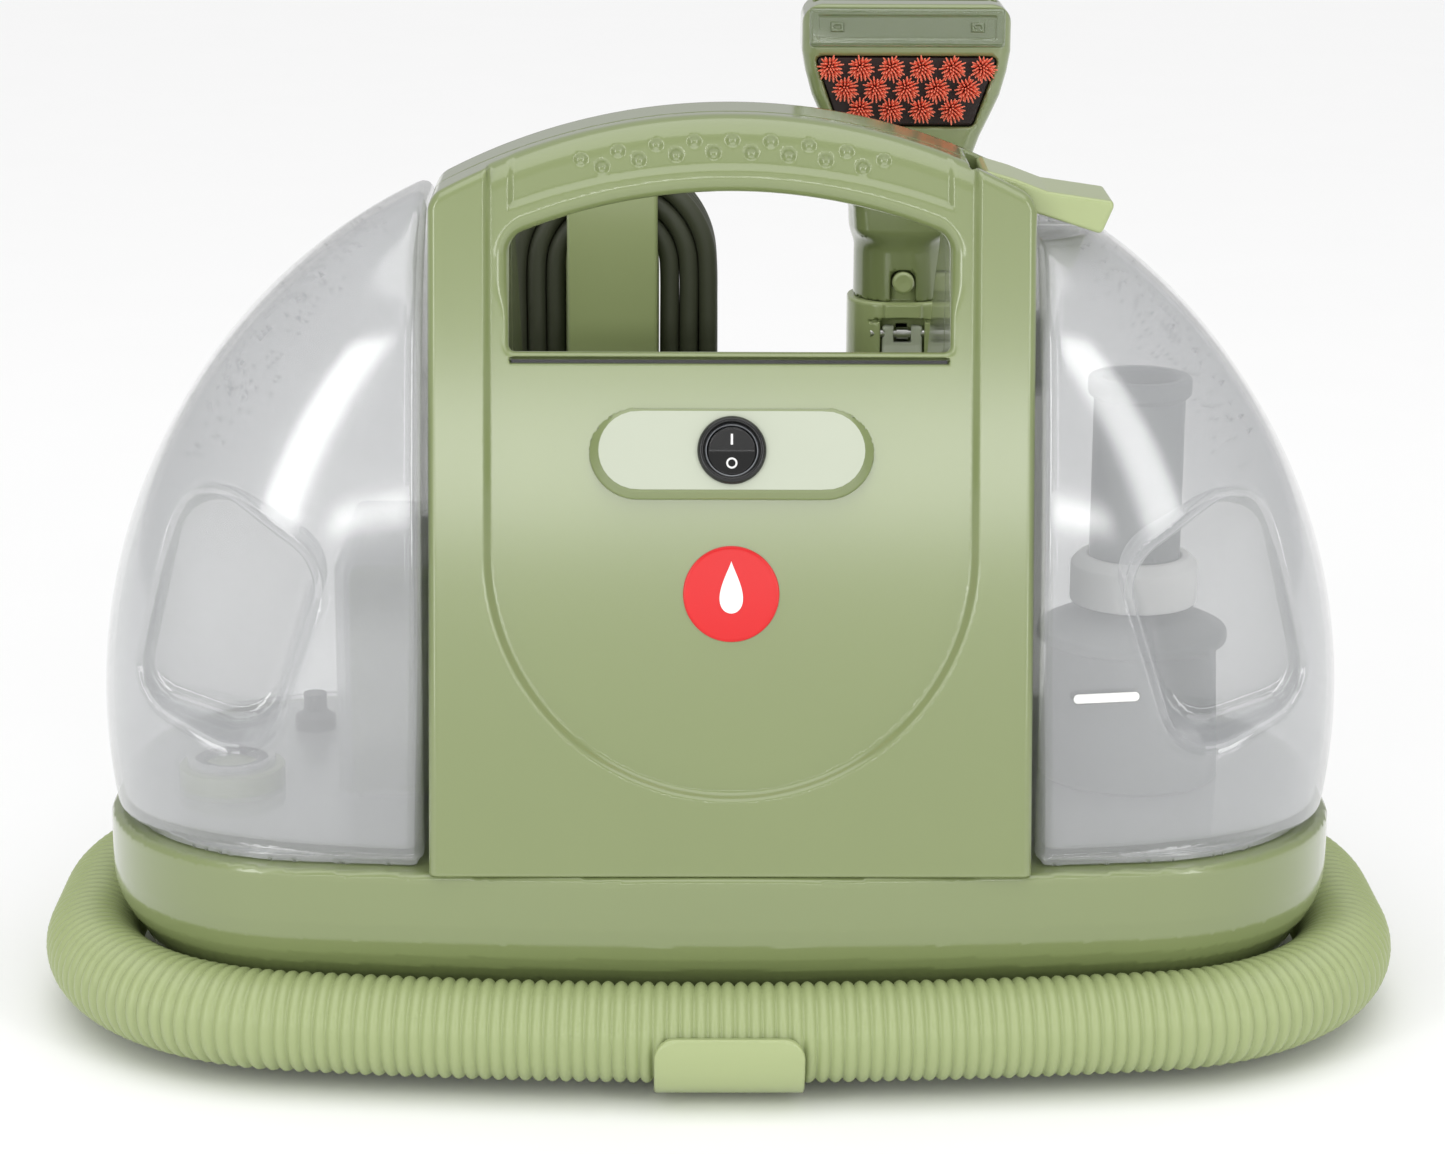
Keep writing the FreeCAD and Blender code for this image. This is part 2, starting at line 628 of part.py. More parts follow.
motor_can = node(turned_body("motor_can", [
    ("shaft_size + 0.05", "motor_bottom"), ("motor_outer", "motor_bottom"), ("motor_outer", "motor_top"),
    ("shaft_size + 0.05", "motor_top"), ("shaft_size + 0.05", "motor_top - 3"),
    ("motor_outer - 3", "motor_top - 3"), ("motor_outer - 3", "motor_bottom + 3"),
    ("shaft_size + 0.05", "motor_bottom + 3"),
]))
motor_shaft = node(turned_body("motor_shaft", [
    ("0", "base_top + 6"), ("shaft_size", "base_top + 6"), ("shaft_size", "motor_bottom + 10"),
    ("armature_outer", "motor_bottom + 10"), ("armature_outer", "motor_top - 12"),
    ("shaft_size", "motor_top - 12"), ("shaft_size", "motor_top + 4"), ("0", "motor_top + 4"),
]))
fan_housing = node(turned_body("fan_housing", [
    ("0", "base_top"), ("fan_outer", "base_top"), ("fan_outer", "fan_top"), ("shaft_size + 0.05", "fan_top"),
    ("shaft_size + 0.05", "fan_top - 2"), ("fan_outer - 2", "fan_top - 2"), ("fan_outer - 2", "base_top + 2"),
    ("0", "base_top + 2"),
]))


def make_impeller():
    """Disc on the motor shaft with straight blades in a ring."""
    body = turned_body("impeller", [
        ("shaft_size", "base_top + 7"), ("impeller_outer", "base_top + 7"),
        ("impeller_outer", "base_top + 9"),
        ("shaft_size + 4", "base_top + 9"), ("shaft_size + 4", "base_top + 17"),
        ("shaft_size", "base_top + 17"),
    ])
    DOC.recompute()
    sketch = new_sketch(body, "impeller_blade_outline", "XY_Plane")
    draw_polygon(sketch, [("shaft_size + 3", "-0.8"), ("impeller_outer - 1", "-0.8"),
                          ("impeller_outer - 1", "0.8"), ("shaft_size + 3", "0.8")])
    sketch.AttachmentOffset = FreeCAD.Placement(Vector(0, 0, size("base_top + 8.5")), FreeCAD.Rotation())
    blade = body.newObject("PartDesign::Pad", "impeller_blade")
    blade.Profile = sketch
    bind(blade, Length="7.5")
    ring = body.newObject("PartDesign::PolarPattern", "impeller_blades")
    ring.Originals = [blade]
    ring.Axis = (sketch, ["N_Axis"])
    ring.Angle = 360
    ring.Occurrences = 9
    body.Tip = ring
    return node(body)


impeller = make_impeller()
for part in (motor_can, motor_shaft, fan_housing, impeller):
    bind(part, x="motor_x", y="motor_y")

mounts = []
for index in range(3):
    angle = math.radians(90 + 120 * index)
    mounts.append(cylinder("motor_mount", "Z", f"motor_x + {27 * math.cos(angle):.3f}",
                           f"motor_y + {27 * math.sin(angle):.3f}", "fan_top", "4",
                           "motor_bottom - fan_top"))
node(group("motor_mounts", mounts))

pump_block = block("pump_block", "-116", "-8", "base_top", "20", "28", "30")
pump_bore = cylinder("pump_bore", "Y", "-106", "-9", "base_top + 18", "plunger_size + 0.05", "24")
node(cut("pump_body", pump_block, pump_bore))
node(cylinder("pump_plunger", "Y", "-106", "-18", "base_top + 18", "plunger_size", "24"))

WATER_POINTS = [(-110, 20, 84), (-110, 34, 84), (-110, 38, 100), (-104, 38, 112), (-92.5, 38, 113.9)]
shape_node("water_line", tube_along(rounded_route(WATER_POINTS, "water line"), 2.5))


# ---- tanks ---------------------------------------------------------------------------------

def tank_ring(z, inset):
    """Closed plan curve of both tanks' common dome at a height."""
    drop = z - size("tank_bend_z")
    long_half = size("tank_bend_x") + math.sqrt(size("tank_bend") ** 2 - drop ** 2) - inset
    share = (z - size("tank_bottom")) / 215
    deep_half = size("tank_half_depth") * math.sqrt(1 - max(share, 0) ** 2.2) - inset
    middle_y = -12 * max(share, 0) ** 2
    power = 2 / size("tank_power")
    points = []
    for step in range(48):
        angle = 2 * math.pi * step / 48
        across = math.copysign(abs(math.cos(angle)) ** power, math.cos(angle))
        along = math.copysign(abs(math.sin(angle)) ** power, math.sin(angle))
        points.append(Vector(long_half * across, middle_y + deep_half * along, z))
    curve = Part.BSplineCurve()
    curve.interpolate(points, PeriodicFlag=True)
    return Part.Wire(curve.toShape())


def tank_dome(inset):
    low = size("tank_bottom") + inset
    high = size("tank_top") - inset
    levels = [low + (high - low) * share for share in (0, 0.12, 0.25, 0.4, 0.55, 0.7, 0.82, 0.91, 0.97, 1)]
    return Part.makeLoft([tank_ring(level, inset) for level in levels], True, False)


def grip_cutter(outset, side):
    """Finger pocket in the outer front of a tank."""
    corners = [(-169, 192), (-125, 164), (-145, 102), (-187, 118)]
    middle = Vector(-156.5, 0, 144)
    points = []
    for x, z in corners:
        out = (Vector(x, 0, z) - middle).normalize()
        place = Vector(x, -160, z) + out * outset * 1.3
        points.append(Vector(side * -place.x, place.y, place.z))
    pocket = prism(points, Vector(0, 160 - 54 + outset, 0))
    upright = [edge for edge in pocket.Edges if abs(edge.tangentAt(edge.FirstParameter).y) > 0.99]
    pocket = pocket.makeFillet(13 + outset, upright)
    return pocket


def make_tank(side, inner_x, extra_outer, extra_inner):
    """Translucent shell: the dome outside the body's side wall, less the pockets in it."""
    wall = size("tank_wall")

    def beyond(start):
        low, high = sorted((side * start, side * 300))
        return box_shape((low, -200, 0), (high, 200, 400))

    outer = tank_dome(0).common(beyond(inner_x)).cut(grip_cutter(0, side))
    inner = tank_dome(wall).common(beyond(inner_x + wall)).cut(grip_cutter(wall, side))
    for tool in extra_outer:
        outer = outer.cut(tool)
    for tool in extra_inner:
        inner = inner.cut(tool)
    foot = base_oval(6, size("tank_foot"), size("tank_bottom")).common(beyond(inner_x + 2))
    foot = foot.cut(base_oval(9, 0, 100).common(beyond(inner_x + 5)))
    for tool in extra_outer:
        foot = foot.cut(tool)
    return outer.fuse(foot), inner


def make_tanks():
    wall = size("tank_wall")
    gap = size("tank_gap")
    recess = [box_shape((size("pump_cover_left") - 1.5 - grow, size("pump_cover_front") - 1.5 - grow, 0),
                        (0, size("pump_cover_back") + 1.5 + grow, size("pump_cover_top") + 1.5 + grow))
              for grow in (0, wall)]
    outer, inner = make_tank(-1, -size("body_left") + gap, recess[:1], recess[1:])
    centre = Vector(size("cap_x"), size("cap_y"), size("tank_bottom"))
    height = size("neck_top") - size("tank_bottom")
    neck = Part.makeCylinder(size("neck_outer"), height, centre, Z_AXIS)
    bore = Part.makeCylinder(size("neck_inner"), height + 10, centre - Z_AXIS * 5, Z_AXIS)
    shape_node("clean_tank_shell", outer.cut(inner.cut(neck)).cut(bore))

    notch = [box_shape((0, size("latch_front") - 3 - grow, size("latch_notch_z") - grow),
                       (140, size("latch_back") + 3 + grow, 400)) for grow in (0, wall)]
    outer, inner = make_tank(1, size("body_right") + gap, notch[:1], notch[1:])
    port = Part.makeCylinder(11, 20, Vector(size("body_right"), size("port_y"), size("port_z")), X_AXIS)
    shape_node("dirty_tank_shell", outer.cut(inner).cut(port))


make_tanks()

tank_cap = node(turned_body("clean_tank_cap", [
    ("0", "tank_bottom + 2"), ("cap_outer - 3", "tank_bottom + 2"), ("cap_outer - 3", "tank_bottom + 0.3"),
    ("cap_outer", "tank_bottom + 0.3"), ("cap_outer", "neck_top - 3"), ("0", "neck_top - 3"),
]))
gasket = node(turned_body("cap_gasket", [
    ("cap_outer - 3", "neck_top - 3"), ("cap_outer", "neck_top - 3"), ("cap_outer", "neck_top - 1"),
    ("cap_outer - 3", "neck_top - 1"),
]))
for part in (tank_cap, gasket):
    bind(part, x="cap_x", y="cap_y")

stack = node(turned_body("separator_stack", [
    ("tower_inner", "tank_bottom + tank_wall"), ("stack_base", "tank_bottom + tank_wall"),
    ("stack_base - 2", "stack_step_z - 4"), ("stack_rim", "stack_step_z - 4"), ("stack_rim", "stack_step_z"),
    ("tower_outer + 6", "stack_step_z + 5"), ("tower_outer", "stack_step_z + 7"),
    ("tower_outer", "tower_top - 6"), ("tower_outer + 2", "tower_top - 6"), ("tower_outer + 2", "tower_top"),
    ("tower_inner", "tower_top"),
]))
stack_float = node(turned_body("stack_float", [
    ("float_inner", "stack_step_z + 9"), ("float_outer", "stack_step_z + 9"),
    ("float_outer", "stack_step_z + 22"), ("float_outer - 3", "stack_step_z + 25"),
    ("float_inner", "stack_step_z + 25"),
]))
for part in (stack, stack_float):
    bind(part, x="stack_x", y="stack_y")

tank_valve = node(turned_body("clean_tank_valve", [
    ("0", "tank_bottom + tank_wall"), ("7", "tank_bottom + tank_wall"), ("7", "tank_bottom + 7"),
    ("4", "tank_bottom + 9"), ("4", "tank_bottom + 15"), ("0", "tank_bottom + 15"),
]))
bind(tank_valve, x="-140", y="40")

port_place = Vector(size("body_right"), size("port_y"), size("port_z"))
seal_ring = ring_shape(port_place, X_AXIS, 11, 14, size("tank_gap") - 0.3)
shape_node("tank_seal", seal_ring)


# ---- latch lever ---------------------------------------------------------------------------

def make_latch():
    """Leaf that follows the shoulder's arch and ends in a turned-up finger tab."""
    front = size("latch_front")
    width = size("latch_back - latch_front")
    pin_x = size("latch_pin_x")
    pin_z = size("latch_pin_z")
    nose = size("latch_nose_x")
    outline = [
        (pin_x - 6, pin_z + 7.5), (pin_x + 3, pin_z + 5), (pin_x + 13.5, pin_z + 1), (nose, pin_z - 2),
        (nose + 0.2, pin_z - 4), (nose - 3.4, pin_z - 12.5), (nose - 11, pin_z - 10),
        (pin_x + 12, pin_z - 6.5), (pin_x + 4, pin_z - 4.5), (pin_x - 3, pin_z - 3.5),
        (pin_x - 5.5, pin_z),
    ]
    leaf = prism([Vector(x, front, z) for x, z in outline], Vector(0, width, 0))
    bore = Part.makeCylinder(size("latch_pin_size") + 0.05, 200, Vector(pin_x, -100, pin_z), Y_AXIS)
    room = box_shape((pin_x - 8, front + width / 2 - 5, pin_z - 6),
                     (pin_x + 4, front + width / 2 + 5, pin_z + 3.4))
    shape_node("latch_lever", leaf.cut(bore).cut(room))
    shape_node("latch_pin", latch_pin_hole())
    shape_node("latch_spring", ring_shape(Vector(pin_x, front + width / 2 - 4, pin_z), Y_AXIS,
                                          size("latch_pin_size"), 2.8, 8))


make_latch()


# ---- power cord ----------------------------------------------------------------------------

def racetrack(half_width, top, bottom, depth, y):
    """Upright slab with round ends."""
    x = size("hank_x")
    slab = box_shape((x - half_width, y - depth / 2, bottom + half_width),
                     (x + half_width, y + depth / 2, top - half_width))
    for z in (bottom + half_width, top - half_width):
        slab = slab.fuse(Part.makeCylinder(half_width, depth, Vector(x, y - depth / 2, z), Y_AXIS))
    return slab.removeSplitter()


def make_cord():
    y = size("hank_y")
    half = size("hank_half_width")
    core = size("hank_core")
    top = size("hank_top")
    bottom = size("hank_bottom")
    depth = size("hank_depth")
    wound = half - core
    hank = racetrack(half, top, bottom, depth, y)
    hank = hank.cut(racetrack(core, top - wound, bottom + wound, depth + 2, y))
    shape_node("power_cord_hank", hank)

    post = racetrack(core - 0.3, top - wound - 0.3, bottom + wound + 0.3, depth + 1, y - 0.2)
    x = size("hank_x")
    front_strip = box_shape((x - 15.5, size("body_back"), bottom - 4),
                            (x + 15.5, y - depth / 2 - 0.3, top + 4))
    back_strip = box_shape((x - 10, y + depth / 2 + 0.3, bottom - 4), (x + 10, y + depth / 2 + 3.3, top + 2))
    shape_node("cord_wrap_bracket", front_strip.fuse(post).fuse(back_strip).removeSplitter())

    lead = [(33, y, 95), (17, y, 95), (3.4, y - 3.5, 103), (-4.3, y - 8, 116.6), (-4.3, y - 9.9, 146)]
    tail = [(-57, y + 9.9, 257.5), (-75, y + 5.5, 249), (-83, y, 234), (-83, y, 220)]
    for label, points in (("power_cord_lead", lead), ("power_cord_tail", tail)):
        shape_node(label, tube_along(rounded_route(points, label), size("cord_size"), label))


make_cord()

gland_block = block("gland_block", "37", "body_back", "87", "11", "hank_y - body_back + 7", "16")
gland_nose = cylinder("gland_nose", "X", "33", "hank_y", "95", "5.5", "5")
node(fuse("cord_gland", gland_block, gland_nose))

relief = node(turned_body("plug_strain_relief", [
    ("0", "192"), ("6", "192"), ("4.2", "220"), ("0", "220"),
]))
bind(relief, x="-83", y="hank_y")
node(block("plug_body", "-91", "hank_y - 12", "164", "16", "24", "28"))
blades = [block("plug_blade", "-83.8", f"hank_y - {6.35 - 12.7 * index} - 3.1", "146", "1.6", "6.2", "18")
          for index in range(2)]
node(group("plug_blades", blades))


# ---- wand and nozzle -----------------------------------------------------------------------

def rounded_slab(half_x, half_y, bend, low, high):
    """Upright block with rounded upright edges about the wand's axis."""
    x = size("wand_x")
    y = size("wand_y")
    slab = box_shape((x - half_x, y - half_y, low), (x + half_x, y + half_y, high))
    upright = [edge for edge in slab.Edges if abs(edge.tangentAt(edge.FirstParameter).z) > 0.99]
    return slab.makeFillet(bend, upright)


def make_wand():
    x = size("wand_x")
    y = size("wand_y")
    low = size("wand_bottom")
    joint = size("wand_joint")
    half_y = size("wand_half_depth")
    grip = rounded_slab(size("wand_half_width"), half_y, 14, low, joint)
    spigot = ring_shape(Vector(x, y, joint), Z_AXIS, 11, size("spigot_outer"), 20)
    bore = Part.makeCylinder(11, 100, Vector(x, y, low - 1), Z_AXIS)
    pin = size("trigger_pin_z")
    slot = box_shape((x - 7.6, y - half_y - 1, pin - 37), (x + 7.6, y - 11.5, pin + 5))
    pin_hole = Part.makeCylinder(1.5, 22, Vector(x - 11, y - half_y + 2.5, pin), X_AXIS)
    button_hole = Part.makeCylinder(size("button_size") + 0.05, 20,
                                    Vector(x, y - 20, size("button_z")), Y_AXIS)
    body = grip.cut(bore).fuse(spigot).cut(slot).cut(pin_hole).cut(button_hole)
    shape_node("wand_body", body)
    shape_node("trigger_pin", pin_hole)
    shape_node("trigger_spring", ring_shape(Vector(x - 2, y - half_y + 2.5, pin), X_AXIS, 1.5, 2.1, 4))

    lever = [(-half_y + 0.4, 3), (-half_y + 0.4, -4), (-half_y - 3.2, -20), (-half_y - 3.2, -35),
             (-half_y - 0.4, -35), (-half_y + 3.2, -6), (-half_y + 4.6, 0), (-half_y + 3.6, 3)]
    trigger = prism([Vector(x - 7, y + across, pin + up) for across, up in lever], Vector(14, 0, 0))
    trigger = trigger.cut(Part.makeCylinder(1.55, 60, Vector(x - 30, y - half_y + 2.5, pin), X_AXIS))
    trigger = trigger.cut(box_shape((x - 3, y - half_y - 5, pin - 3), (x + 3, y, pin + 5)))
    shape_node("spray_trigger", trigger)

    cuff = Part.makeCone(17, 18.5, low - size("hose_end_z"), Vector(x, y, size("hose_end_z")), Z_AXIS)
    sleeve = ring_shape(Vector(x, y, size("hose_end_z") - 8), Z_AXIS, size("hose_outer") + 0.1, 17, 8)
    shape_node("hose_wand_cuff", cuff.fuse(sleeve).removeSplitter())

    holder = box_shape((x - 24, size("body_back"), 144), (x + 23, size("body_back") + 1.2, 164))
    for start in (-24, 19):
        holder = holder.fuse(box_shape((x + start, size("body_back"), 144), (x + start + 4, y + 8, 160)))
    shape_node("wand_holder", holder.removeSplitter())


make_wand()

button = node(cylinder("release_button", "Y", "wand_x", "wand_y - 17.6", "button_z", "button_size", "6"))


def nozzle_head(thin, top):
    """Flared head: its front view widens from the neck to the mouth, its side view tapers a little."""
    x = size("wand_x")
    y = size("wand_y")
    neck = 16.5 - thin
    wide = size("nozzle_half_width") - thin
    deep = size("nozzle_half_depth") - thin

    def side(sign):
        low = Part.Arc(Vector(x + sign * neck, 0, 244), Vector(x + sign * (neck + 3), 0, 260),
                       Vector(x + sign * (wide - 10), 0, 277)).toShape()
        high = Part.Arc(Vector(x + sign * (wide - 10), 0, 277), Vector(x + sign * (wide - 3.4), 0, 291),
                        Vector(x + sign * wide, 0, 306)).toShape()
        cheek = Part.LineSegment(Vector(x + sign * wide, 0, 306), Vector(x + sign * wide, 0, top)).toShape()
        return [low, high, cheek]

    ends = [Part.LineSegment(Vector(x - wide, 0, top), Vector(x + wide, 0, top)).toShape(),
            Part.LineSegment(Vector(x - neck, 0, 244), Vector(x + neck, 0, 244)).toShape()]
    front_view = Part.Wire(Part.sortEdges(side(1) + side(-1) + ends)[0])
    front_view = Part.Face(front_view).extrude(Vector(0, 200, 0))
    side_view = side_view_prism([(y - neck, 240), (y - neck, 256), (y - deep, 285), (y - deep, 400),
                                 (y + deep, 400), (y + deep, 285), (y + neck, 256), (y + neck, 240)], 0, 200)
    return front_view.common(side_view)


def brush_outline(inset, y):
    """Corners of the trapezium that the brush fills, at one depth."""
    x = size("wand_x")
    return [Vector(x - 31.5 + inset, y, 304.5 - inset), Vector(x + 31.5 - inset, y, 304.5 - inset),
            Vector(x + 23 - inset, y, 280.5 + inset), Vector(x - 23 + inset, y, 280.5 + inset)]


def make_nozzle():
    x = size("wand_x")
    y = size("wand_y")
    joint = size("wand_joint")
    top = size("nozzle_top")
    face = y - size("nozzle_half_depth")
    neck = Part.makeCylinder(16.5, 26, Vector(x, y, joint + 0.2), Z_AXIS)
    head = nozzle_head(0, top).fuse(neck)
    inside = nozzle_head(2.2, top - 3)
    pocket = prism(brush_outline(0, face - 20), Vector(0, 20 + 5, 0))
    pocket_wall = prism(brush_outline(-2, face - 20), Vector(0, 20 + 7, 0))
    inside = inside.cut(pocket_wall)
    inside = inside.fuse(Part.makeCylinder(size("neck_bore"), 30, Vector(x, y, joint - 1), Z_AXIS))
    mouth = box_shape((x - 31, y - 1, top - 10), (x + 31, y + 7, top + 1))
    side = size("button_size") + 0.4
    notch = box_shape((x - side, y - 30, joint - 1), (x + side, y, size("button_z") + side))
    body = head.cut(inside).cut(pocket).cut(mouth).cut(notch)
    window_seat = box_shape((x - 33.5, face - 5, 307.5), (x + 33.5, face + 1.2, top - 1))
    shape_node("nozzle_body", max(body.cut(window_seat).Solids, key=lambda solid: solid.Volume))
    shape_node("nozzle_window", box_shape((x - 33.5, face - 1.4, 307.5), (x + 33.5, face + 1.2, top - 1)))

    block_face = face + 1
    shape_node("brush_block", prism(brush_outline(0.2, block_face), Vector(0, face + 5 - block_face, 0)))
    pitch = 10.4
    tufts = []
    for line, (count, z) in enumerate(((6, 300.5), (5, 293.4), (4, 286.3))):
        for index in range(count):
            place = Vector(x + (index - (count - 1) / 2) * pitch, face - 5.5, z)
            tufts.append(Part.makeCone(3.4, 1.8, 6.5, place, Y_AXIS))
    shape_node("bristle_tufts", Part.makeCompound(tufts))


make_nozzle()


# ---- check and write -----------------------------------------------------------------------

DOC.recompute()
for feature in DOC.Objects:
    assert "Invalid" not in feature.State and "Error" not in feature.State, feature.Name
os.makedirs("parts", exist_ok=True)
labels = [feature.Name for feature in NODES]
assert len(labels) == len(set(labels)), "two sub-parts share a name"
for feature in NODES:
    feature.Label = feature.Name
    shape = feature.Shape
    assert not shape.isNull() and shape.isValid(), feature.Label
    shape.exportStep(f"parts/{feature.Label}.step")
print(len(NODES), "sub-parts written")
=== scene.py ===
import math
import bpy
import numpy as np
from mathutils import Matrix, Vector


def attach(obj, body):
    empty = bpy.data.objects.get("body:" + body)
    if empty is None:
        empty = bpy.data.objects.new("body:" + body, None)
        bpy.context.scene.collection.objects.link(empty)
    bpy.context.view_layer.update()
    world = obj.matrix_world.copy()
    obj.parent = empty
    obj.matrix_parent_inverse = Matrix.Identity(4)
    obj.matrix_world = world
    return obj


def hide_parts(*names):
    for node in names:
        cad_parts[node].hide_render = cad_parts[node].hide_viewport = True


# Portable carpet cleaner. Shapes are worked out in millimetres in the row frame and written in metres.

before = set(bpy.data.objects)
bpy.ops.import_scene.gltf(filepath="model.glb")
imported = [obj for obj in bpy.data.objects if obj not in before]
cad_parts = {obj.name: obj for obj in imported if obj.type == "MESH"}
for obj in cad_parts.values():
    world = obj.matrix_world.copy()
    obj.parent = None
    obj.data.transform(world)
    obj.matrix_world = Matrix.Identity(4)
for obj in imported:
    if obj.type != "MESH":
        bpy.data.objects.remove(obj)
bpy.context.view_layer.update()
MM = 0.001
scene = bpy.context.scene

# ---- camera --------------------------------------------------------------------------------

lens = bpy.data.cameras.new("photo_lens")
lens.sensor_width = 36
lens.lens = 93.05
camera = bpy.data.objects.new("photo_camera", lens)
scene.collection.objects.link(camera)
camera.matrix_world = (Matrix.Translation((-0.0146, -1.2, 0.4693)) @ Matrix.Rotation(-0.0126, 4, "Z")
                       @ Matrix.Rotation(math.pi / 2 - 0.2679, 4, "X") @ Matrix.Rotation(0.0055, 4, "Z"))
scene.camera = camera


# ---- materials -----------------------------------------------------------------------------

def linear(rgb):
    """Linear colour from sRGB numbers up to 255."""
    out = []
    for value in rgb:
        share = value / 255
        out.append(share / 12.92 if share <= 0.04045 else ((share + 0.055) / 1.055) ** 2.4)
    return (*out, 1.0)


def material(name, rgb, rough=0.4, metal=0.0, grain=400.0, bump=0.02, vary=0.06, coat=0.0):
    """Principled material whose tone, gloss and surface vary a little with procedural noise."""
    made = bpy.data.materials.new(name)
    made.use_nodes = True
    nodes = made.node_tree.nodes
    links = made.node_tree.links
    shader = nodes["Principled BSDF"]
    shader.inputs["Metallic"].default_value = metal
    shader.inputs["Coat Weight"].default_value = coat
    shader.inputs["Coat Roughness"].default_value = 0.12
    place = nodes.new("ShaderNodeTexCoord")
    broad = nodes.new("ShaderNodeTexNoise")
    broad.inputs["Scale"].default_value = 14
    broad.inputs["Detail"].default_value = 3
    links.new(place.outputs["Object"], broad.inputs["Vector"])
    tone = nodes.new("ShaderNodeMix")
    tone.data_type = "RGBA"
    base = linear(rgb)
    tone.inputs["A"].default_value = tuple(c * (1 - vary) for c in base[:3]) + (1,)
    tone.inputs["B"].default_value = tuple(min(1, c * (1 + vary)) for c in base[:3]) + (1,)
    links.new(broad.outputs["Fac"], tone.inputs["Factor"])
    links.new(tone.outputs["Result"], shader.inputs["Base Color"])
    gloss = nodes.new("ShaderNodeMapRange")
    gloss.inputs["To Min"].default_value = max(0.02, rough - 0.04)
    gloss.inputs["To Max"].default_value = rough + 0.04
    links.new(broad.outputs["Fac"], gloss.inputs["Value"])
    links.new(gloss.outputs["Result"], shader.inputs["Roughness"])
    fine = nodes.new("ShaderNodeTexNoise")
    fine.inputs["Scale"].default_value = grain
    fine.inputs["Detail"].default_value = 2
    links.new(place.outputs["Object"], fine.inputs["Vector"])
    relief = nodes.new("ShaderNodeBump")
    relief.inputs["Strength"].default_value = bump
    relief.inputs["Distance"].default_value = 0.0004
    links.new(fine.outputs["Fac"], relief.inputs["Height"])
    links.new(relief.outputs["Normal"], shader.inputs["Normal"])
    return made


def see_through(made, middle, edge, power=0.5):
    """Make a material translucent, with more body where the surface turns away from the eye."""
    nodes = made.node_tree.nodes
    nodes["Principled BSDF"].inputs["IOR"].default_value = 2.3
    nodes["Principled BSDF"].inputs["Coat Weight"].default_value = 1.0
    nodes["Principled BSDF"].inputs["Coat IOR"].default_value = 1.9
    links = made.node_tree.links
    turn = nodes.new("ShaderNodeLayerWeight")
    turn.inputs["Blend"].default_value = power
    spread = nodes.new("ShaderNodeMapRange")
    spread.inputs["To Min"].default_value = middle
    spread.inputs["To Max"].default_value = edge
    links.new(turn.outputs["Facing"], spread.inputs["Value"])
    links.new(spread.outputs["Result"], nodes["Principled BSDF"].inputs["Alpha"])
    return made


M = {
    "green_body": material("green_plastic", (127, 139, 91), rough=0.3, bump=0.012, coat=1.0, vary=0.02),
    # Lighter copy of the body's green: painted light on the hose clips, latch lever, cord bracket, wand holder and
    # wand parts.
    "green_painted_light": material("green_plastic_painted_light", (164, 176, 124), rough=0.3, bump=0.02, coat=0.5, vary=0.02),
    # Pale green: painted highlight on the switch pod's face; also used on the spray trigger.
    "pale_green_and_painted_light": material("pale_green_plastic_and_painted_highlight", (188, 194, 176), rough=0.35, bump=0.02, vary=0.02),
    "green_hose": material("hose_green", (157, 169, 119), rough=0.36, bump=0.04, vary=0.03),
    "green_clear": see_through(material("clear_green", (118, 142, 84), rough=0.12, bump=0.01), 0.8, 0.97),
    "smoky_tank": see_through(material("smoky_plastic", (204, 206, 208), rough=0.15, bump=0.01, vary=0.02),
                              0.26, 0.75, 0.4),
    "clear_window": see_through(material("window_plastic", (122, 140, 92), rough=0.07, bump=0.01), 0.35, 0.8),
    "clear_line": see_through(material("line_plastic", (205, 208, 205), rough=0.15), 0.5, 0.9),
    "grey_plastic": material("grey_plastic", (142, 145, 149), rough=0.42, bump=0.04),
    "stack_grey": material("stack_grey", (112, 116, 116), rough=0.42, bump=0.04),
    "black_plastic": material("black_plastic", (22, 22, 22), rough=0.25, bump=0.03),
    "black_rubber": material("black_rubber", (30, 30, 30), rough=0.7, bump=0.12),
    "cord": material("cord_rubber", (68, 71, 56), rough=0.5, grain=900, bump=0.1),
    "steel": material("bright_steel", (190, 190, 188), rough=0.3, metal=1, grain=700, bump=0.05),
    "motor_steel": material("motor_steel", (120, 122, 124), rough=0.45, metal=1, grain=500, bump=0.08),
    "brass": material("brass", (190, 160, 96), rough=0.3, metal=1, grain=700, bump=0.05),
    "bristle": material("bristle_red", (255, 138, 110), rough=0.5, bump=0.05, vary=0.1),
    "brush_black": material("brush_black", (30, 12, 10), rough=0.5, bump=0.05),
    "badge_red": material("badge_red", (212, 14, 18), rough=0.3, bump=0.02, vary=0.03),
    "mark_white": material("mark_white", (240, 240, 238), rough=0.4, bump=0.02, vary=0.02),
}


# ---- meshes --------------------------------------------------------------------------------

def piece(name, mesh, body, look, replaced=()):
    """Put a mesh or curve into the scene as a piece that rides on a body."""
    made = bpy.data.objects.new(name, mesh)
    scene.collection.objects.link(made)
    mesh.materials.append(M[look])
    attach(made, body)
    if replaced:
        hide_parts(*replaced)
    return made


def mesh_of(name, points, faces, normals=None):
    mesh = bpy.data.meshes.new(name)
    mesh.from_pydata((np.asarray(points) * MM).tolist(), [], [list(map(int, face)) for face in faces])
    mesh.update()
    mesh.polygons.foreach_set("use_smooth", np.ones(len(mesh.polygons), bool))
    if normals is not None:
        mesh.normals_split_custom_set_from_vertices(normals.tolist())
    return mesh


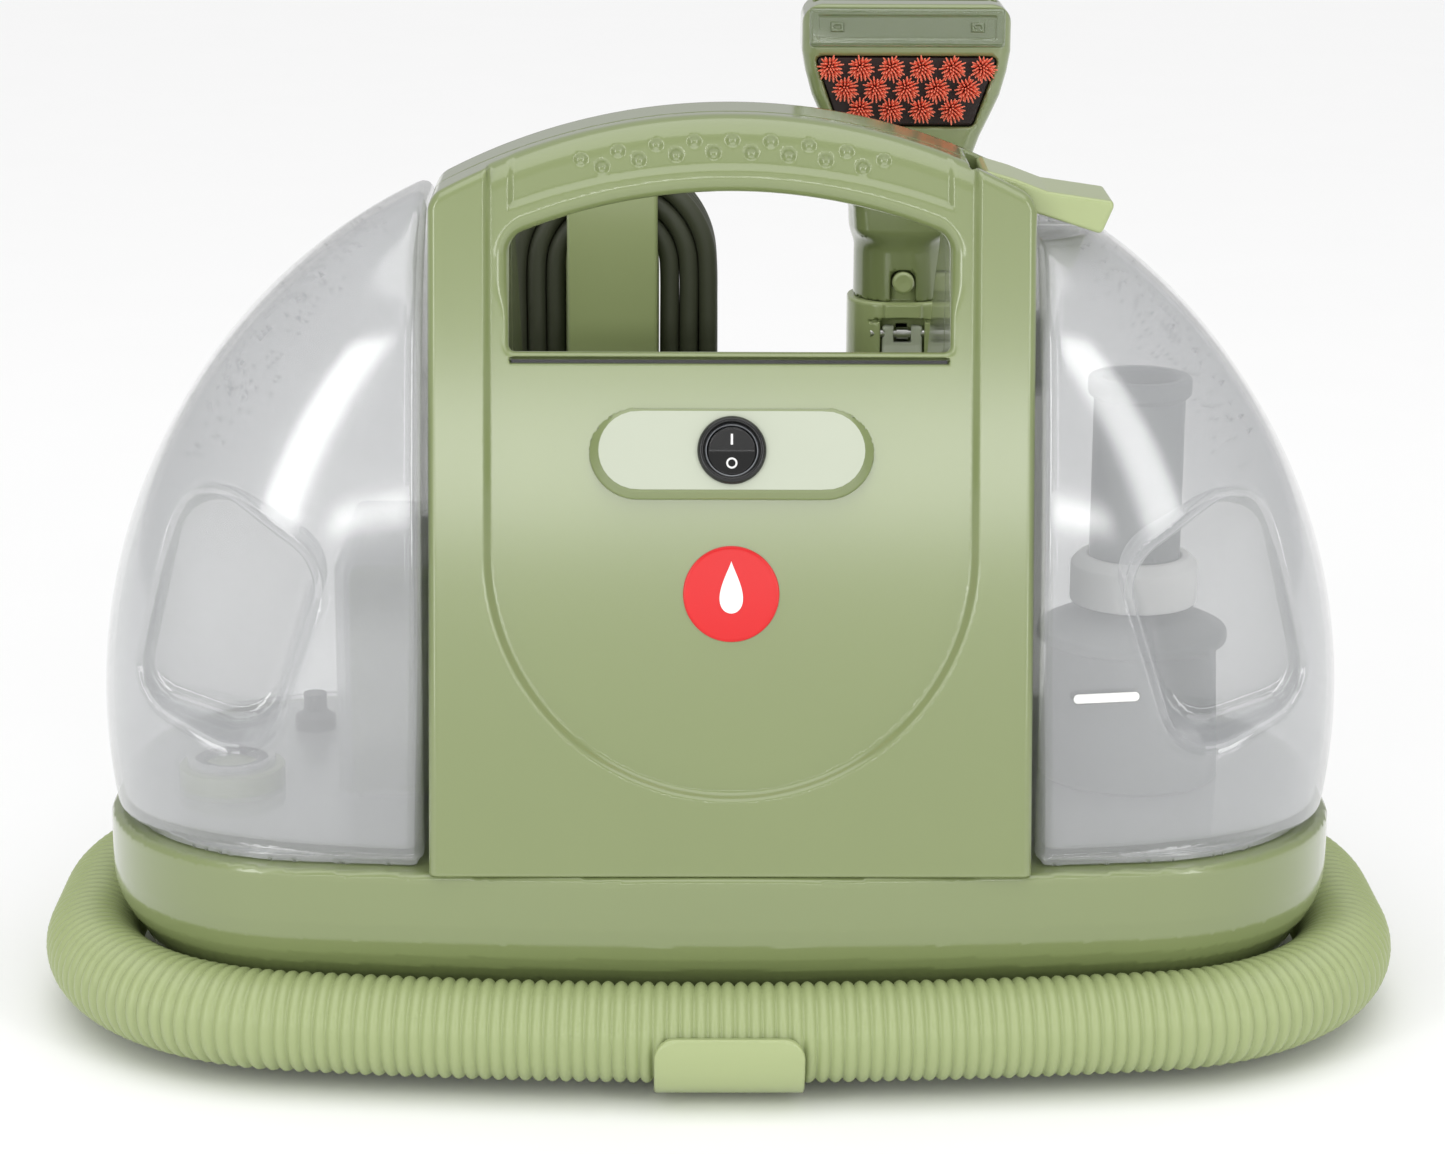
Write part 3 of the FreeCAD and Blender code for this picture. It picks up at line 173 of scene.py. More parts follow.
def rows_mesh(name, rows, capped=True):
    """Tube from rows of points, each row going round once; its ends are capped or else joined to each other."""
    rows = np.asarray(rows, float)
    count, around = rows.shape[:2]
    index = np.arange(count * around).reshape(count, around)
    if not capped:
        index = np.vstack([index, index[:1]])
    turned = np.roll(index, -1, axis=1)
    faces = np.stack([index[:-1], turned[:-1], turned[1:], index[1:]], axis=-1).reshape(-1, 4).tolist()
    points = rows.reshape(-1, 3)
    if capped:
        points = np.vstack([points, rows[0].mean(0), rows[-1].mean(0)])
        first, last = count * around, count * around + 1
        faces += [[int(turned[0, i]), int(index[0, i]), first] for i in range(around)]
        faces += [[int(index[-1, i]), int(turned[-1, i]), last] for i in range(around)]
    return mesh_of(name, points, faces)


def turned_mesh(name, profile, centre, axis=(0, 0, 1), around=48):
    """Surface turned about an axis from (radius, height) pairs."""
    turn = Vector((0, 0, 1)).rotation_difference(Vector(axis)).to_matrix()
    looped = tuple(profile[0]) == tuple(profile[-1])
    rows = []
    for radius, height in profile[:-1] if looped else profile:
        row = []
        for step in range(around):
            angle = 2 * math.pi * step / around
            spot = turn @ Vector((radius * math.cos(angle), radius * math.sin(angle), height))
            row.append([spot[0] + centre[0], spot[1] + centre[1], spot[2] + centre[2]])
        rows.append(row)
    return rows_mesh(name, rows, capped=not looped)


def eased(profile, ease=0.6, steps=3):
    """The same (radius, height) profile with its corners rounded."""
    out = [profile[0]]
    for before, corner, after in zip(profile, profile[1:], profile[2:]):
        a, c, b = (np.array(p, float) for p in (before, corner, after))
        reach = min(ease, 0.45 * np.linalg.norm(a - c), 0.45 * np.linalg.norm(b - c))
        first = c + (a - c) / max(np.linalg.norm(a - c), 1e-9) * reach
        last = c + (b - c) / max(np.linalg.norm(b - c), 1e-9) * reach
        for step in range(steps + 1):
            t = step / steps
            out.append(tuple((1 - t) ** 2 * first + 2 * t * (1 - t) * c + t * t * last))
    return out + [profile[-1]]


# ---- distance fields -----------------------------------------------------------------------
# A field is a function of x, y and z that is negative inside the solid.

def both(a, b, bend):
    """Where two solids overlap, with the edge between them rounded."""
    return np.minimum(np.maximum(a, b), -bend) + np.hypot(np.maximum(a + bend, 0), np.maximum(b + bend, 0))


def either(a, b, bend):
    """Two solids joined, with a fillet where they meet."""
    return -both(-a, -b, bend)


def less(a, b, bend=0.0):
    """The first solid without the second, with a rounded edge."""
    return both(a, -b, bend) if bend else np.maximum(a, -b)


def flat(points, u, v):
    """Signed distance in a plane to a closed polygon."""
    nearest = None
    inside = False
    for (au, av), (bu, bv) in zip(points, points[1:] + points[:1]):
        eu, ev = bu - au, bv - av
        wu, wv = u - au, v - av
        along = np.clip((wu * eu + wv * ev) / (eu * eu + ev * ev), 0, 1)
        gap = (wu - eu * along) ** 2 + (wv - ev * along) ** 2
        nearest = gap if nearest is None else np.minimum(nearest, gap)
        if ev:
            crossed = ((av <= v) != (bv <= v)) & ((wu * ev - eu * wv) / ev < 0)
            inside = inside ^ crossed
    return np.where(inside, -1, 1) * np.sqrt(nearest)


def rounded(corners, bend, steps=6):
    """The same polygon with every corner turned into an arc."""
    out = []
    for before, corner, after in zip(corners[-1:] + corners[:-1], corners, corners[1:] + corners[:1]):
        a, c, b = (np.array(p, float) for p in (before, corner, after))
        into, away = (c - a) / np.linalg.norm(c - a), (b - c) / np.linalg.norm(b - c)
        half = math.acos(max(-1.0, min(1.0, float(into @ away)))) / 2
        if half < 0.01:
            out.append(tuple(c))
            continue
        reach = min(bend * math.tan(half), 0.48 * np.linalg.norm(c - a), 0.48 * np.linalg.norm(b - c))
        first, last = c - into * reach, c + away * reach
        for step in range(steps + 1):
            t = step / steps
            weight = math.cos(half)
            p = (1 - t) ** 2 * first + 2 * t * (1 - t) * weight * c + t * t * last
            out.append(tuple(p / ((1 - t) ** 2 + 2 * t * (1 - t) * weight + t * t)))
    return out


def box(x, y, z, low, high, bend=0.0):
    """Box whose edges are rounded."""
    gaps = [np.abs(p - (a + b) / 2) - (b - a) / 2 + bend for p, a, b in zip((x, y, z), low, high)]
    outside = np.sqrt(sum(np.maximum(gap, 0) ** 2 for gap in gaps))
    return outside + np.minimum(np.maximum(np.maximum(gaps[0], gaps[1]), gaps[2]), 0) - bend


def ease(share):
    share = np.clip(share, 0, 1)
    return share * share * (3 - 2 * share)


def steepness(field, p, reach=0.05):
    """Slope of a field at points, and its values there."""
    x, y, z = p.T
    sides = [field(x + dx, y + dy, z + dz) - field(x - dx, y - dy, z - dz)
             for dx, dy, dz in np.eye(3) * reach]
    return np.stack(np.broadcast_arrays(*sides), axis=1) / (2 * reach), field(x, y, z)


def net(name, field, low, high, step):
    """Mesh of a field's surface: one point per cell that it crosses, moved onto the surface."""
    axes = [np.arange(a - 1.37 * step, b + 2 * step, step) for a, b in zip(low, high)]
    shape = tuple(len(axis) for axis in axes)
    values = np.broadcast_to(field(axes[0][:, None, None], axes[1][None, :, None], axes[2][None, None, :]),
                             shape).astype(np.float32)
    inside = values < 0
    cells = tuple(n - 1 for n in shape)
    corners = [(i, j, k) for i in (0, 1) for j in (0, 1) for k in (0, 1)]
    count = np.zeros(cells, np.uint8)
    for i, j, k in corners:
        count += inside[i:i + cells[0], j:j + cells[1], k:k + cells[2]]
    crossed = (count > 0) & (count < 8)
    where = np.argwhere(crossed)
    total = np.zeros((len(where), 3))
    hits = np.zeros(len(where))
    for a in corners:
        for axis in range(3):
            if a[axis]:
                continue
            b = tuple(1 if n == axis else a[n] for n in range(3))
            va = values[tuple((where + a).T)]
            vb = values[tuple((where + b).T)]
            hit = (va < 0) != (vb < 0)
            t = np.where(hit, va / np.where(hit, va - vb, 1), 0)
            total[hit] += (np.array(a) + t[:, None] * (np.array(b) - np.array(a)))[hit]
            hits += hit
    points = (where + total / hits[:, None]) * step + np.array([axis[0] for axis in axes])
    name_of = np.full(cells, -1, np.int64)
    name_of[crossed] = np.arange(len(where))
    faces = []
    for axis in range(3):
        u, v = (axis + 1) % 3, (axis + 2) % 3
        span = [slice(1, n - 1) for n in shape]
        span[axis] = slice(0, shape[axis] - 1)
        ahead = list(span)
        ahead[axis] = slice(1, shape[axis])
        first, second = inside[tuple(span)], inside[tuple(ahead)]
        for change, order in ((first & ~second, 1), (~first & second, -1)):
            spots = np.argwhere(change)
            spots[:, u] += 1
            spots[:, v] += 1
            ring = []
            for du, dv in ((-1, -1), (0, -1), (0, 0), (-1, 0)):
                cell = spots.copy()
                cell[:, u] += du
                cell[:, v] += dv
                ring.append(name_of[tuple(cell.T)])
            faces.append(np.stack(ring[::order], axis=1))
    for _ in range(3):
        slope, value = steepness(field, points)
        move = slope * (value / np.maximum((slope ** 2).sum(1), 1e-4))[:, None]
        far = np.linalg.norm(move, axis=1)
        points -= move * np.minimum(1, 0.6 * step / np.maximum(far, 1e-9))[:, None]
    slope, _ = steepness(field, points)
    normals = slope / np.maximum(np.linalg.norm(slope, axis=1), 1e-9)[:, None]
    return mesh_of(name, points, np.vstack(faces), normals)


def moulded(node, field, low, high, step, body, look):
    """Piece that takes a CAD node's place, meshed from a field between two corners."""
    return piece(node + "_moulded", net(node, field, low, high, step), body, look, (node,))


# ---- plans and lines -----------------------------------------------------------------------

def oval(x, y, half_length, half_depth, front_bend, corner_bend):
    """Signed distance to the oval plan of flat arcs, corner arcs and straight ends."""
    x, y = np.abs(x), np.abs(y)
    corner_x = half_length - corner_bend
    across = math.sqrt((front_bend - corner_bend) ** 2 - corner_x ** 2)
    corner_y = across - (front_bend - half_depth)
    lean = math.atan2(corner_x, across)
    on_front = np.hypot(x, y + front_bend - half_depth) - front_bend
    on_corner = np.hypot(x - corner_x, y - corner_y) - corner_bend
    in_front = np.arctan2(x, y + front_bend - half_depth) < lean
    return np.where(in_front, on_front, np.where(y > corner_y, on_corner, x - half_length))


def base_plan(x, y):
    return oval(x, y, 201.5, 101.5, 1200, 74)


HOSE_LEVEL, HOSE_SIZE = 21, 15.85
WAND_X, WAND_Y = 63, 82


def hose_line():
    """Centreline of the hose: round the base, up behind the body and into the wand's cuff."""
    bend, corner, length, depth = 1000, 82, 209.6, 107
    corner_x = length - corner
    across = math.sqrt((bend - corner) ** 2 - corner_x ** 2)
    corner_y = across - (bend - depth)
    lean = math.atan2(corner_x, across)
    back = bend - depth
    points = []

    def arc(centre, radius, start, stop):
        steps = max(3, int(abs(stop - start) * radius / 2))
        for step in range(steps + 1):
            angle = start + (stop - start) * step / steps
            points.append((centre[0] + radius * math.sin(angle), centre[1] + radius * math.cos(angle), HOSE_LEVEL))

    arc((0, -back), bend, math.asin(28 / bend), -lean)
    arc((-corner_x, corner_y), corner, -lean, -math.pi / 2)
    arc((-corner_x, -corner_y), corner, -math.pi / 2, -math.pi + lean)
    arc((0, back), bend, math.pi + lean, math.pi - lean)
    arc((corner_x, -corner_y), corner, math.pi - lean, math.pi / 2)
    arc((corner_x, corner_y), corner, math.pi / 2, lean)
    rise_x = WAND_X + 42
    arc((0, -back), bend, lean, math.asin(rise_x / bend))
    back_y = points[-1][1]
    for step in range(1, 34):
        angle = math.pi / 2 * step / 33
        points.append((rise_x - 42 * math.sin(angle), back_y, HOSE_LEVEL + 42 * (1 - math.cos(angle))))
    for step in range(1, 40):
        z = 63 + 77 * step / 39
        points.append((WAND_X, riser_y(z, back_y), z))
    return np.array(points), back_y


def riser_y(z, back_y):
    """Y of the hose where it climbs: two equal arcs from the back of the base to the wand."""
    drift = (back_y - WAND_Y) / 2
    rise = 38.5
    swing = (rise ** 2 + drift ** 2) / (2 * drift)
    low = np.clip(z - 63, 0, rise)
    high = np.clip(140 - z, 0, rise)
    first = back_y - (swing - np.sqrt(swing ** 2 - low ** 2))
    second = WAND_Y + (swing - np.sqrt(swing ** 2 - high ** 2))
    return np.where(z < 63 + rise, first, second)


HOSE_POINTS, HOSE_BACK_Y = hose_line()


def spaced(points, gap):
    """Points a gap apart along a line."""
    points = points[np.r_[True, np.linalg.norm(np.diff(points, axis=0), axis=1) > 1e-6]]
    along = np.r_[0, np.cumsum(np.linalg.norm(np.diff(points, axis=0), axis=1))]
    wanted = np.arange(0, along[-1], gap)
    return np.stack([np.interp(wanted, along, points[:, k]) for k in range(3)], axis=1), wanted


def tube_mesh(name, points, radii, around=28):
    """Tube along points with a radius at each, carried round bends without a twist."""
    ahead = np.gradient(points, axis=0)
    ahead /= np.linalg.norm(ahead, axis=1)[:, None]
    side = np.cross(ahead[0], (0, 0, 1.0))
    if np.linalg.norm(side) < 0.1:
        side = np.array((1.0, 0, 0))
    angles = np.arange(around) * 2 * math.pi / around
    rows = []
    for point, way, radius in zip(points, ahead, radii):
        side = side - way * (side @ way)
        side /= np.linalg.norm(side)
        up = np.cross(way, side)
        rows.append(point + radius * (np.cos(angles)[:, None] * side + np.sin(angles)[:, None] * up))
    return rows_mesh(name, rows)


# ---- power cord ----------------------------------------------------------------------------

CORD = 3.3
HANK_X, HANK_Y = -37, 79
RING_LOW, RING_HIGH = 156, 232


def cord_points():
    """Listed ends and, between them, twelve turns laid three across and four deep."""
    points = [(33, 79, 95), (25, 79, 95), (17, 79, 95.3), (3.4, 75.5, 103), (-4.3, 71, 116.6), (-4.3, 69.3, 131),
              (-4.3, 69.1, 146)]
    radii = [32.7, 26.1, 19.5, 19.5, 26.1, 32.7] * 2
    levels = [69.1] * 3 + [75.7] * 3 + [82.3] * 3 + [88.9] * 3
    marks = [(math.radians(angle), RING_HIGH) for angle in range(0, 181, 18)]
    marks += [(math.pi, 206), (math.pi, 182)]
    marks += [(math.radians(angle), RING_LOW) for angle in range(180, 361, 18)]
    marks += [(0, 182), (0, 206)]
    changing = range(len(marks) - 10, len(marks))
    for turn in range(len(radii)):
        last = turn == len(radii) - 1
        for place, (angle, middle) in enumerate(marks):
            if last and angle > math.radians(120):
                break
            share = float(ease((place - changing[0] + 1) / 10)) if place in changing and not last else 0
            following = min(turn + 1, len(radii) - 1)
            radius = radii[turn] + (radii[following] - radii[turn]) * share
            level = levels[turn] + (levels[following] - levels[turn]) * share
            grown = radius / (0.75 + 0.25 * math.cos(math.radians(18)))
            if middle in (206, 182):
                grown = radius
            points.append((HANK_X + grown * math.cos(angle), level, middle + grown * math.sin(angle)))
    points += [(-57, 88.7, 257.5), (-75, 84.5, 249), (-83, 79.6, 236), (-83, 79, 228), (-83, 79, 220)]
    return points


def make_cord():
    curve = bpy.data.curves.new("power_cord", "CURVE")
    curve.dimensions = "3D"
    curve.bevel_depth = CORD * MM
    curve.bevel_resolution = 5
    curve.use_fill_caps = True
    curve.resolution_u = 5
    line = curve.splines.new("NURBS")
    points = cord_points()
    line.points.add(len(points) - 1)
    for point, place in zip(line.points, points):
        point.co = (*(c * MM for c in place), 1)
    line.order_u = 3
    line.use_endpoint_u = True
    made = piece("power_cord_winding", curve, "machine", "cord",
                 ("power_cord_hank", "power_cord_lead", "power_cord_tail"))
    return made


power_cord = make_cord()


def spline_length(points, steps=8):
    """Length of the quadratic line that the cord's points shape, in metres."""
    p = np.array(points, float)
    middles = (p[:-1] + p[1:]) / 2
    middles[0], middles[-1] = p[0], p[-1]
    t = np.linspace(0, 1, steps + 1)[:, None]
    total = 0
    for first, corner, last in zip(middles, p[1:-1], middles[1:]):
        bow = (1 - t) ** 2 * first + 2 * t * (1 - t) * corner + t * t * last
        total += np.linalg.norm(np.diff(bow, axis=0), axis=1).sum()
    return total * MM


relief_rows = [(6.0, 192), (6.0, 193)]
for ring in range(7):
    z = 194 + 3.6 * ring
    wide = 6.0 - 1.8 * (z - 192) / 28
    relief_rows += [(wide, z), (wide, z + 1.9), (wide - 0.9, z + 2.2), (wide - 0.9, z + 3.2)]
relief_rows += [(4.15, 219.4), (3.5, 220.2)]
strain_relief = piece("plug_strain_relief_ribbed", turned_mesh("strain_relief", [(3.2, 191.9)] + relief_rows,
                      (-83, HANK_Y, 0), around=32), "machine", "cord", ("plug_strain_relief",))


def plug(x, y, z):
    shell = box(x, y, z, (-91, 67, 163.8), (-75, 91, 192.2), 3)
    waist = np.hypot(x + 83 + np.where(x > -83, -19, 19), z - 180) - 12.5
    return less(shell, waist, 1)


plug_body = moulded("plug_body", plug, (-92, 66, 163), (-74, 92, 193), 1.0, "machine", "black_rubber")
spline_length(cord_points())


# ---- suction hose --------------------------------------------------------------------------

def make_hose():
    """Ribbed tube with about eight rows of points to each rib."""
    pitch = 4.2
    points, along = spaced(HOSE_POINTS, pitch / 8)
    rib = np.abs(np.cos(math.pi * along / pitch))
    radii = HOSE_SIZE - 1.5 + 1.5 * rib ** 0.75
    piece("ribbed_hose", tube_mesh("ribbed_hose", points, radii), "machine", "green_hose",
          ("hose_tube",))


make_hose()


def clip(side):
    def field(x, y, z):
        out = side * y - 107
        up = z - HOSE_LEVEL
        ring = np.abs(np.hypot(out, up) - 17.4) - 1.4
        lip = math.radians(16.5)
        above = up * math.cos(lip) - out * math.sin(lip)
        hook = np.where(out < 0, np.abs(up + 17.4) - 1.4, ring)
        hook = np.maximum(hook, above)
        hook = np.maximum(hook, 87.6 - side * y)
        hook = np.where((out < 0) & (up > 0), 9.0, hook)
        face = np.hypot(np.maximum(np.abs(x - 2) - 16.5, 0), np.maximum(up + 2.1, 0)) - 7
        width = np.abs(x - 2) - 23.5
        return both(hook, np.maximum(width, face), 0.8)

    low, high = sorted((side * 86, side * 127))
    return net("hose_clip", field, (-23, low, 1), (27, high, 28), 0.8)


for label, side in (("front_hose_clip", -1), ("rear_hose_clip", 1)):
    piece(label + "_moulded", clip(side), "machine", "green_painted_light", (label,))


def base_cuff(x, y, z):
    """Collar with grip rings where the hose leaves the base, on a foot."""
    around = np.hypot(y - 106.6, z - HOSE_LEVEL)
    rings = 0.5 * np.cos((x - 28) * 2 * math.pi / 5)
    collar = both(around - 16.3 - rings * 0.5, np.abs(x - 39) - 11, 0.8)
    foot = box(x, y, z, (32, 87.6, 9), (50, 108, 22), 1.5)
    return less(either(collar, foot, 2), around - 15.2)


moulded("hose_base_cuff", base_cuff, (26, 86, 3), (52, 125, 39), 0.9, "machine", "green_body")


# ---- base ----------------------------------------------------------------------------------

BASE_SECTION = [(-300, 70), (-2.2, 70), (-0.9, 69.6), (-0.2, 68.6), (0, 67), (0, 52), (-0.4, 47), (-1.7, 42.5),
                (-3.9, 38), (-7, 34), (-14, 22), (-14, 4), (-17, 4), (-17, 38), (-8, 38), (-8, 67), (-300, 67)]


def riser_gap(x, y, z):
    """Distance from the centreline of the hose where it leaves the floor and climbs."""
    bend = np.hypot(np.hypot(x - 105, z - 63) - 42, y - HOSE_BACK_Y)
    level = np.hypot(y - HOSE_BACK_Y, z - HOSE_LEVEL)
    upright = np.hypot(x - WAND_X, y - riser_y(z, HOSE_BACK_Y))
    return np.where(z > 63, upright, np.where(x < 105, bend, level))


def base(x, y, z):
    plan = base_plan(x, y)
    shell = flat(BASE_SECTION, plan, z + 0 * plan)
    around = riser_gap(x, y, z)
    near = (x > 30) & (x < 170) & (y > 60)
    notch = np.where(near, around - 16.75, 30.0)
    return less(shell, notch, 0.8)


moulded("base_tray", base, (-202, -102, 3), (202, 102, 71), 1.8, "machine", "green_body")


# ---- centre body ---------------------------------------------------------------------------

SLOPE = 38.5 / 192
FRONT_Y, FOOT_Z = -100.5, 70
PANEL_Z, PANEL_BEND, PANEL_SINK = 169, 77.4, 2.5
ARCH_Z, ARCH_BEND = 105, 196
GROOVE_Z, SPLIT_Y = 227.5, -38
LEAN = math.atan(SLOPE)
COS_L, SIN_L = math.cos(LEAN), math.sin(LEAN)
MIDDLE_X = 2.25
BACK_LINE = rounded([(-300, -200), (-14, -200), (60, -200), (60, 188), (48, 203), (-14, 268), (-14, 400),
                     (-300, 400)], 3)


def face_y(z):
    return FRONT_Y + (z - FOOT_Z) * SLOPE


def deck_z(y):
    return 231 - 0.25 * np.maximum(y - face_y(231), 0)


def opening(x, y, z, bend):
    """Room under the handle."""
    sides = np.abs(x - 1.5) - 68.5
    arch = np.hypot(x - MIDDLE_X, z - 99) - 179
    return both(both(sides, arch, 4), (deck_z(y) - z) * 0.97, bend)


def face_relief(x, y, z):
    """How far the front face is sunk: the U-shaped panel and the handle's face, where the grip dimples sit."""
    u = x - MIDDLE_X
    v = (y - face_y(PANEL_Z)) * SIN_L + (z - PANEL_Z) * COS_L
    panel = np.where(v < 0, np.hypot(u, v), np.abs(u)) - PANEL_BEND
    sunk = PANEL_SINK * ease(-panel / 3.2)
    grip = np.maximum(np.abs(x - 1.8) - 69.5, 202.7 - np.hypot(u, z - 82))
    return sunk + 1.5 * ease(-grip / 2.6)


def dimples(x, y, z):
    """Nearest of the seventeen dimples, nine in the upper row and eight between them in the lower."""
    turn = np.arctan2(x - MIDDLE_X, z - ARCH_Z)
    best = None
    for bend, offset, last in ((189.3, 0.0, 4), (185.4, 0.5, 3)):
        pitch = 11.75 / 187.5
        index = np.clip(np.round(turn / pitch - offset), -4, last) + offset
        middle_x = MIDDLE_X + bend * np.sin(index * pitch)
        middle_z = ARCH_Z + bend * np.cos(index * pitch)
        middle_y = face_y(middle_z) + 4.0 / COS_L - 1.15
        gap = np.sqrt((x - middle_x) ** 2 + (y - middle_y) ** 2 + (z - middle_z) ** 2) - 2.45
        best = gap if best is None else np.minimum(best, gap)
    return best


SWITCH_TURN = math.radians(90) - LEAN - math.radians(11.5)
SWITCH_NORMAL = np.array((0, -math.sin(SWITCH_TURN), math.cos(SWITCH_TURN)))
SWITCH_UP = np.array((0, math.cos(SWITCH_TURN), math.sin(SWITCH_TURN)))
SWITCH_AT = np.array((MIDDLE_X, -75.462, 201.247))


def switch_places(x, y, z):
    """Across, up and out from the middle of the pod's face."""
    across = x - SWITCH_AT[0]
    up = (y - SWITCH_AT[1]) * SWITCH_UP[1] + (z - SWITCH_AT[2]) * SWITCH_UP[2]
    out = (y - SWITCH_AT[1]) * SWITCH_NORMAL[1] + (z - SWITCH_AT[2]) * SWITCH_NORMAL[2]
    return across, up, out


def body(x, y, z):
    wide = both(np.abs(x - MIDDLE_X) - 94.25, np.hypot(x - MIDDLE_X, z - ARCH_Z) - ARCH_BEND, 4)
    rest = flat(BACK_LINE, y, z)
    front = (face_y(z) - y) * COS_L
    relief = face_relief(x, y, z)
    edge = 3.0 + 4.5 * ease((np.abs(relief - 3.2) < 2) * ease((z - 246) / 14) * ease(relief / 2.5))
    outer = both(both(wide, front + relief, edge), rest, 3)
    outer = both(outer, FOOT_Z - z, 0.8)
    room = opening(x, y, z, 2)
    lip = 2.2 + 3.2 * ease((z - 240) / 12)
    outer = both(outer, -room, lip)
    inner = np.maximum(np.maximum(wide + 3, rest + 3), front + 6 + 3 * ease((z - 236) / 8))
    pocket = box(x, y, z, (76, -50.6, 268), (120, -19.4, 400), 1)
    pocket = np.maximum(pocket, np.minimum(80 - x, 275.5 - z))
    inner = np.maximum(np.maximum(inner, 3.2 - room), 3 - pocket)
    shell = np.maximum(outer, -inner)
    groove = np.maximum(np.maximum(np.abs(z - GROOVE_Z) - 0.95, np.abs(x - 1.5) - 68.3), y - face_y(228) - 5)
    shell = less(shell, groove, 0.3)
    shell = less(shell, pocket, 0.8)
    across, up, out = switch_places(x, y, z)
    shell = less(shell, np.maximum(np.hypot(across, up) - 9.5, -40 - out))
    window = box(x, y, z, (3, 55, 106), (37, 70, 154))
    return less(shell, window)


def front_half(x, y, z):
    return less(both(body(x, y, z), y - SPLIT_Y + 0.05, 0.5), dimples(x, y, z), 0.5)


def rear_half(x, y, z):
    return both(body(x, y, z), SPLIT_Y + 0.05 - y, 0.5)


moulded("front_housing", front_half, (-93, -101, 69), (98, -37, 302), 0.8, "machine", "green_body")
moulded("rear_housing", rear_half, (-93, -39, 69), (98, 61, 302), 1.7, "machine", "green_body")


# ---- switch --------------------------------------------------------------------------------

def pod(x, y, z):
    up = (y - face_y(201)) * SIN_L + (z - 201) * COS_L
    rim = np.hypot(np.maximum(np.abs(x - MIDDLE_X) - 29, 0), up) - 15.5
    across, along, out = switch_places(x, y, z)
    front = (face_y(z) - y) * COS_L
    solid = both(both(rim, out, 0.4), (rim + out + 3.3) * 0.7071, 0.7)
    solid = np.maximum(solid, -2.7 - front)
    return less(solid, np.hypot(across, along) - 9.5)


moulded("switch_pod", pod, (-44, -84, 183), (49, -64, 219), 0.7, "machine", "green_body")


def pod_highlight_plate():
    """Pale face of the pod, a painted highlight standing in for the light its upward-tilted face catches: a thin
    plate with round ends and a hole for the switch.
    """
    outer = []
    for step in range(120):
        angle = 2 * math.pi * step / 120
        low, high = 0.0, 60.0
        for _ in range(30):
            middle = (low + high) / 2
            over = math.hypot(max(abs(middle * math.cos(angle)) - 29, 0), middle * math.sin(angle)) > 12.3
            low, high = (low, middle) if over else (middle, high)
        outer.append((low * math.cos(angle), low * math.sin(angle)))
    inner = circle(9.7, 120)
    rows = []
    for outline, out in ((inner, 0.15), (outer, 0.15), (outer, -0.4), (inner, -0.4)):
        rows.append([SWITCH_AT + X_WAY * u + SWITCH_UP * v + SWITCH_NORMAL * out for u, v in outline])
    mesh = rows_mesh("pod_highlight_plate", rows, capped=False)
    mesh.polygons.foreach_set("use_smooth", np.zeros(len(mesh.polygons), bool))
    return mesh


def circle(radius, around=40):
    return [(radius * math.cos(2 * math.pi * k / around), radius * math.sin(2 * math.pi * k / around))
            for k in range(around)]


X_WAY = np.array((1.0, 0, 0))
piece("switch_pod_painted_highlight", pod_highlight_plate(), "machine", "pale_green_and_painted_light")

bezel_profile = eased([(8.3, -0.1), (10.75, 0.0), (10.7, 0.9), (10.0, 2.0), (9.1, 2.2), (8.5, 1.4), (8.3, 0.2)], 0.4)
piece("switch_bezel_ring", turned_mesh("switch_bezel", [(8.25, -0.3)] + bezel_profile + [(8.25, -0.3)], SWITCH_AT,
      SWITCH_NORMAL, 64), "machine", "black_plastic", ("switch_bezel",))
piece("switch_inner_ring", turned_mesh("switch_inner_ring", [(7.85, -3.0), (8.2, -3.0), (8.2, 0.1), (7.85, 0.1),
      (7.85, -3.0)], SWITCH_AT, SWITCH_NORMAL, 64), "machine", "grey_plastic")

ROCKER_TURN = SWITCH_TURN + math.radians(9)
ROCKER_NORMAL = np.array((0, -math.sin(ROCKER_TURN), math.cos(ROCKER_TURN)))
ROCKER_UP = np.array((0, math.cos(ROCKER_TURN), math.sin(ROCKER_TURN)))
ROCKER_AT = np.array((2.25, -73.986, 200.625))


def rocker(x, y, z):
    up = (y - ROCKER_AT[1]) * ROCKER_UP[1] + (z - ROCKER_AT[2]) * ROCKER_UP[2]
    out = (y - ROCKER_AT[1]) * ROCKER_NORMAL[1] + (z - ROCKER_AT[2]) * ROCKER_NORMAL[2]
    top = out - 1.2 - 0.17 * np.sqrt(up * up + 0.3)
    return both(both(np.hypot(x - ROCKER_AT[0], up) - 7.5, top, 0.4), -2.4 - out, 0.3)


moulded("switch_rocker", rocker, (-6, -79, 192), (11, -69, 209), 0.5, "rocker", "black_plastic")


def plate(name, outline, middle, across, up, low, high):
    """Thin plate with the outline given in its own plane."""
    middle, across, up = (np.array(part, float) for part in (middle, across, up))
    out = np.cross(across, up)
    count = len(outline)
    points = [middle + across * u + up * v + out * w for w in (low, high) for u, v in outline]
    points += [middle + out * low, middle + out * high]
    faces = []
    for i in range(count):
        j = (i + 1) % count
        faces += [(i, j, count + j, count + i), (j, i, 2 * count), (count + i, count + j, 2 * count + 1)]
    mesh = mesh_of(name, points, faces)
    mesh.polygons.foreach_set("use_smooth", np.zeros(len(mesh.polygons), bool))
    return mesh


def ring_plate(name, inner, outer, middle, normal):
    """Flat ring that stands a little out of a surface."""
    profile = [(inner, -0.3), (outer, -0.3), (outer, 0.12), (inner, 0.12), (inner, -0.3)]
    return turned_mesh(name, profile, middle, normal, 32)


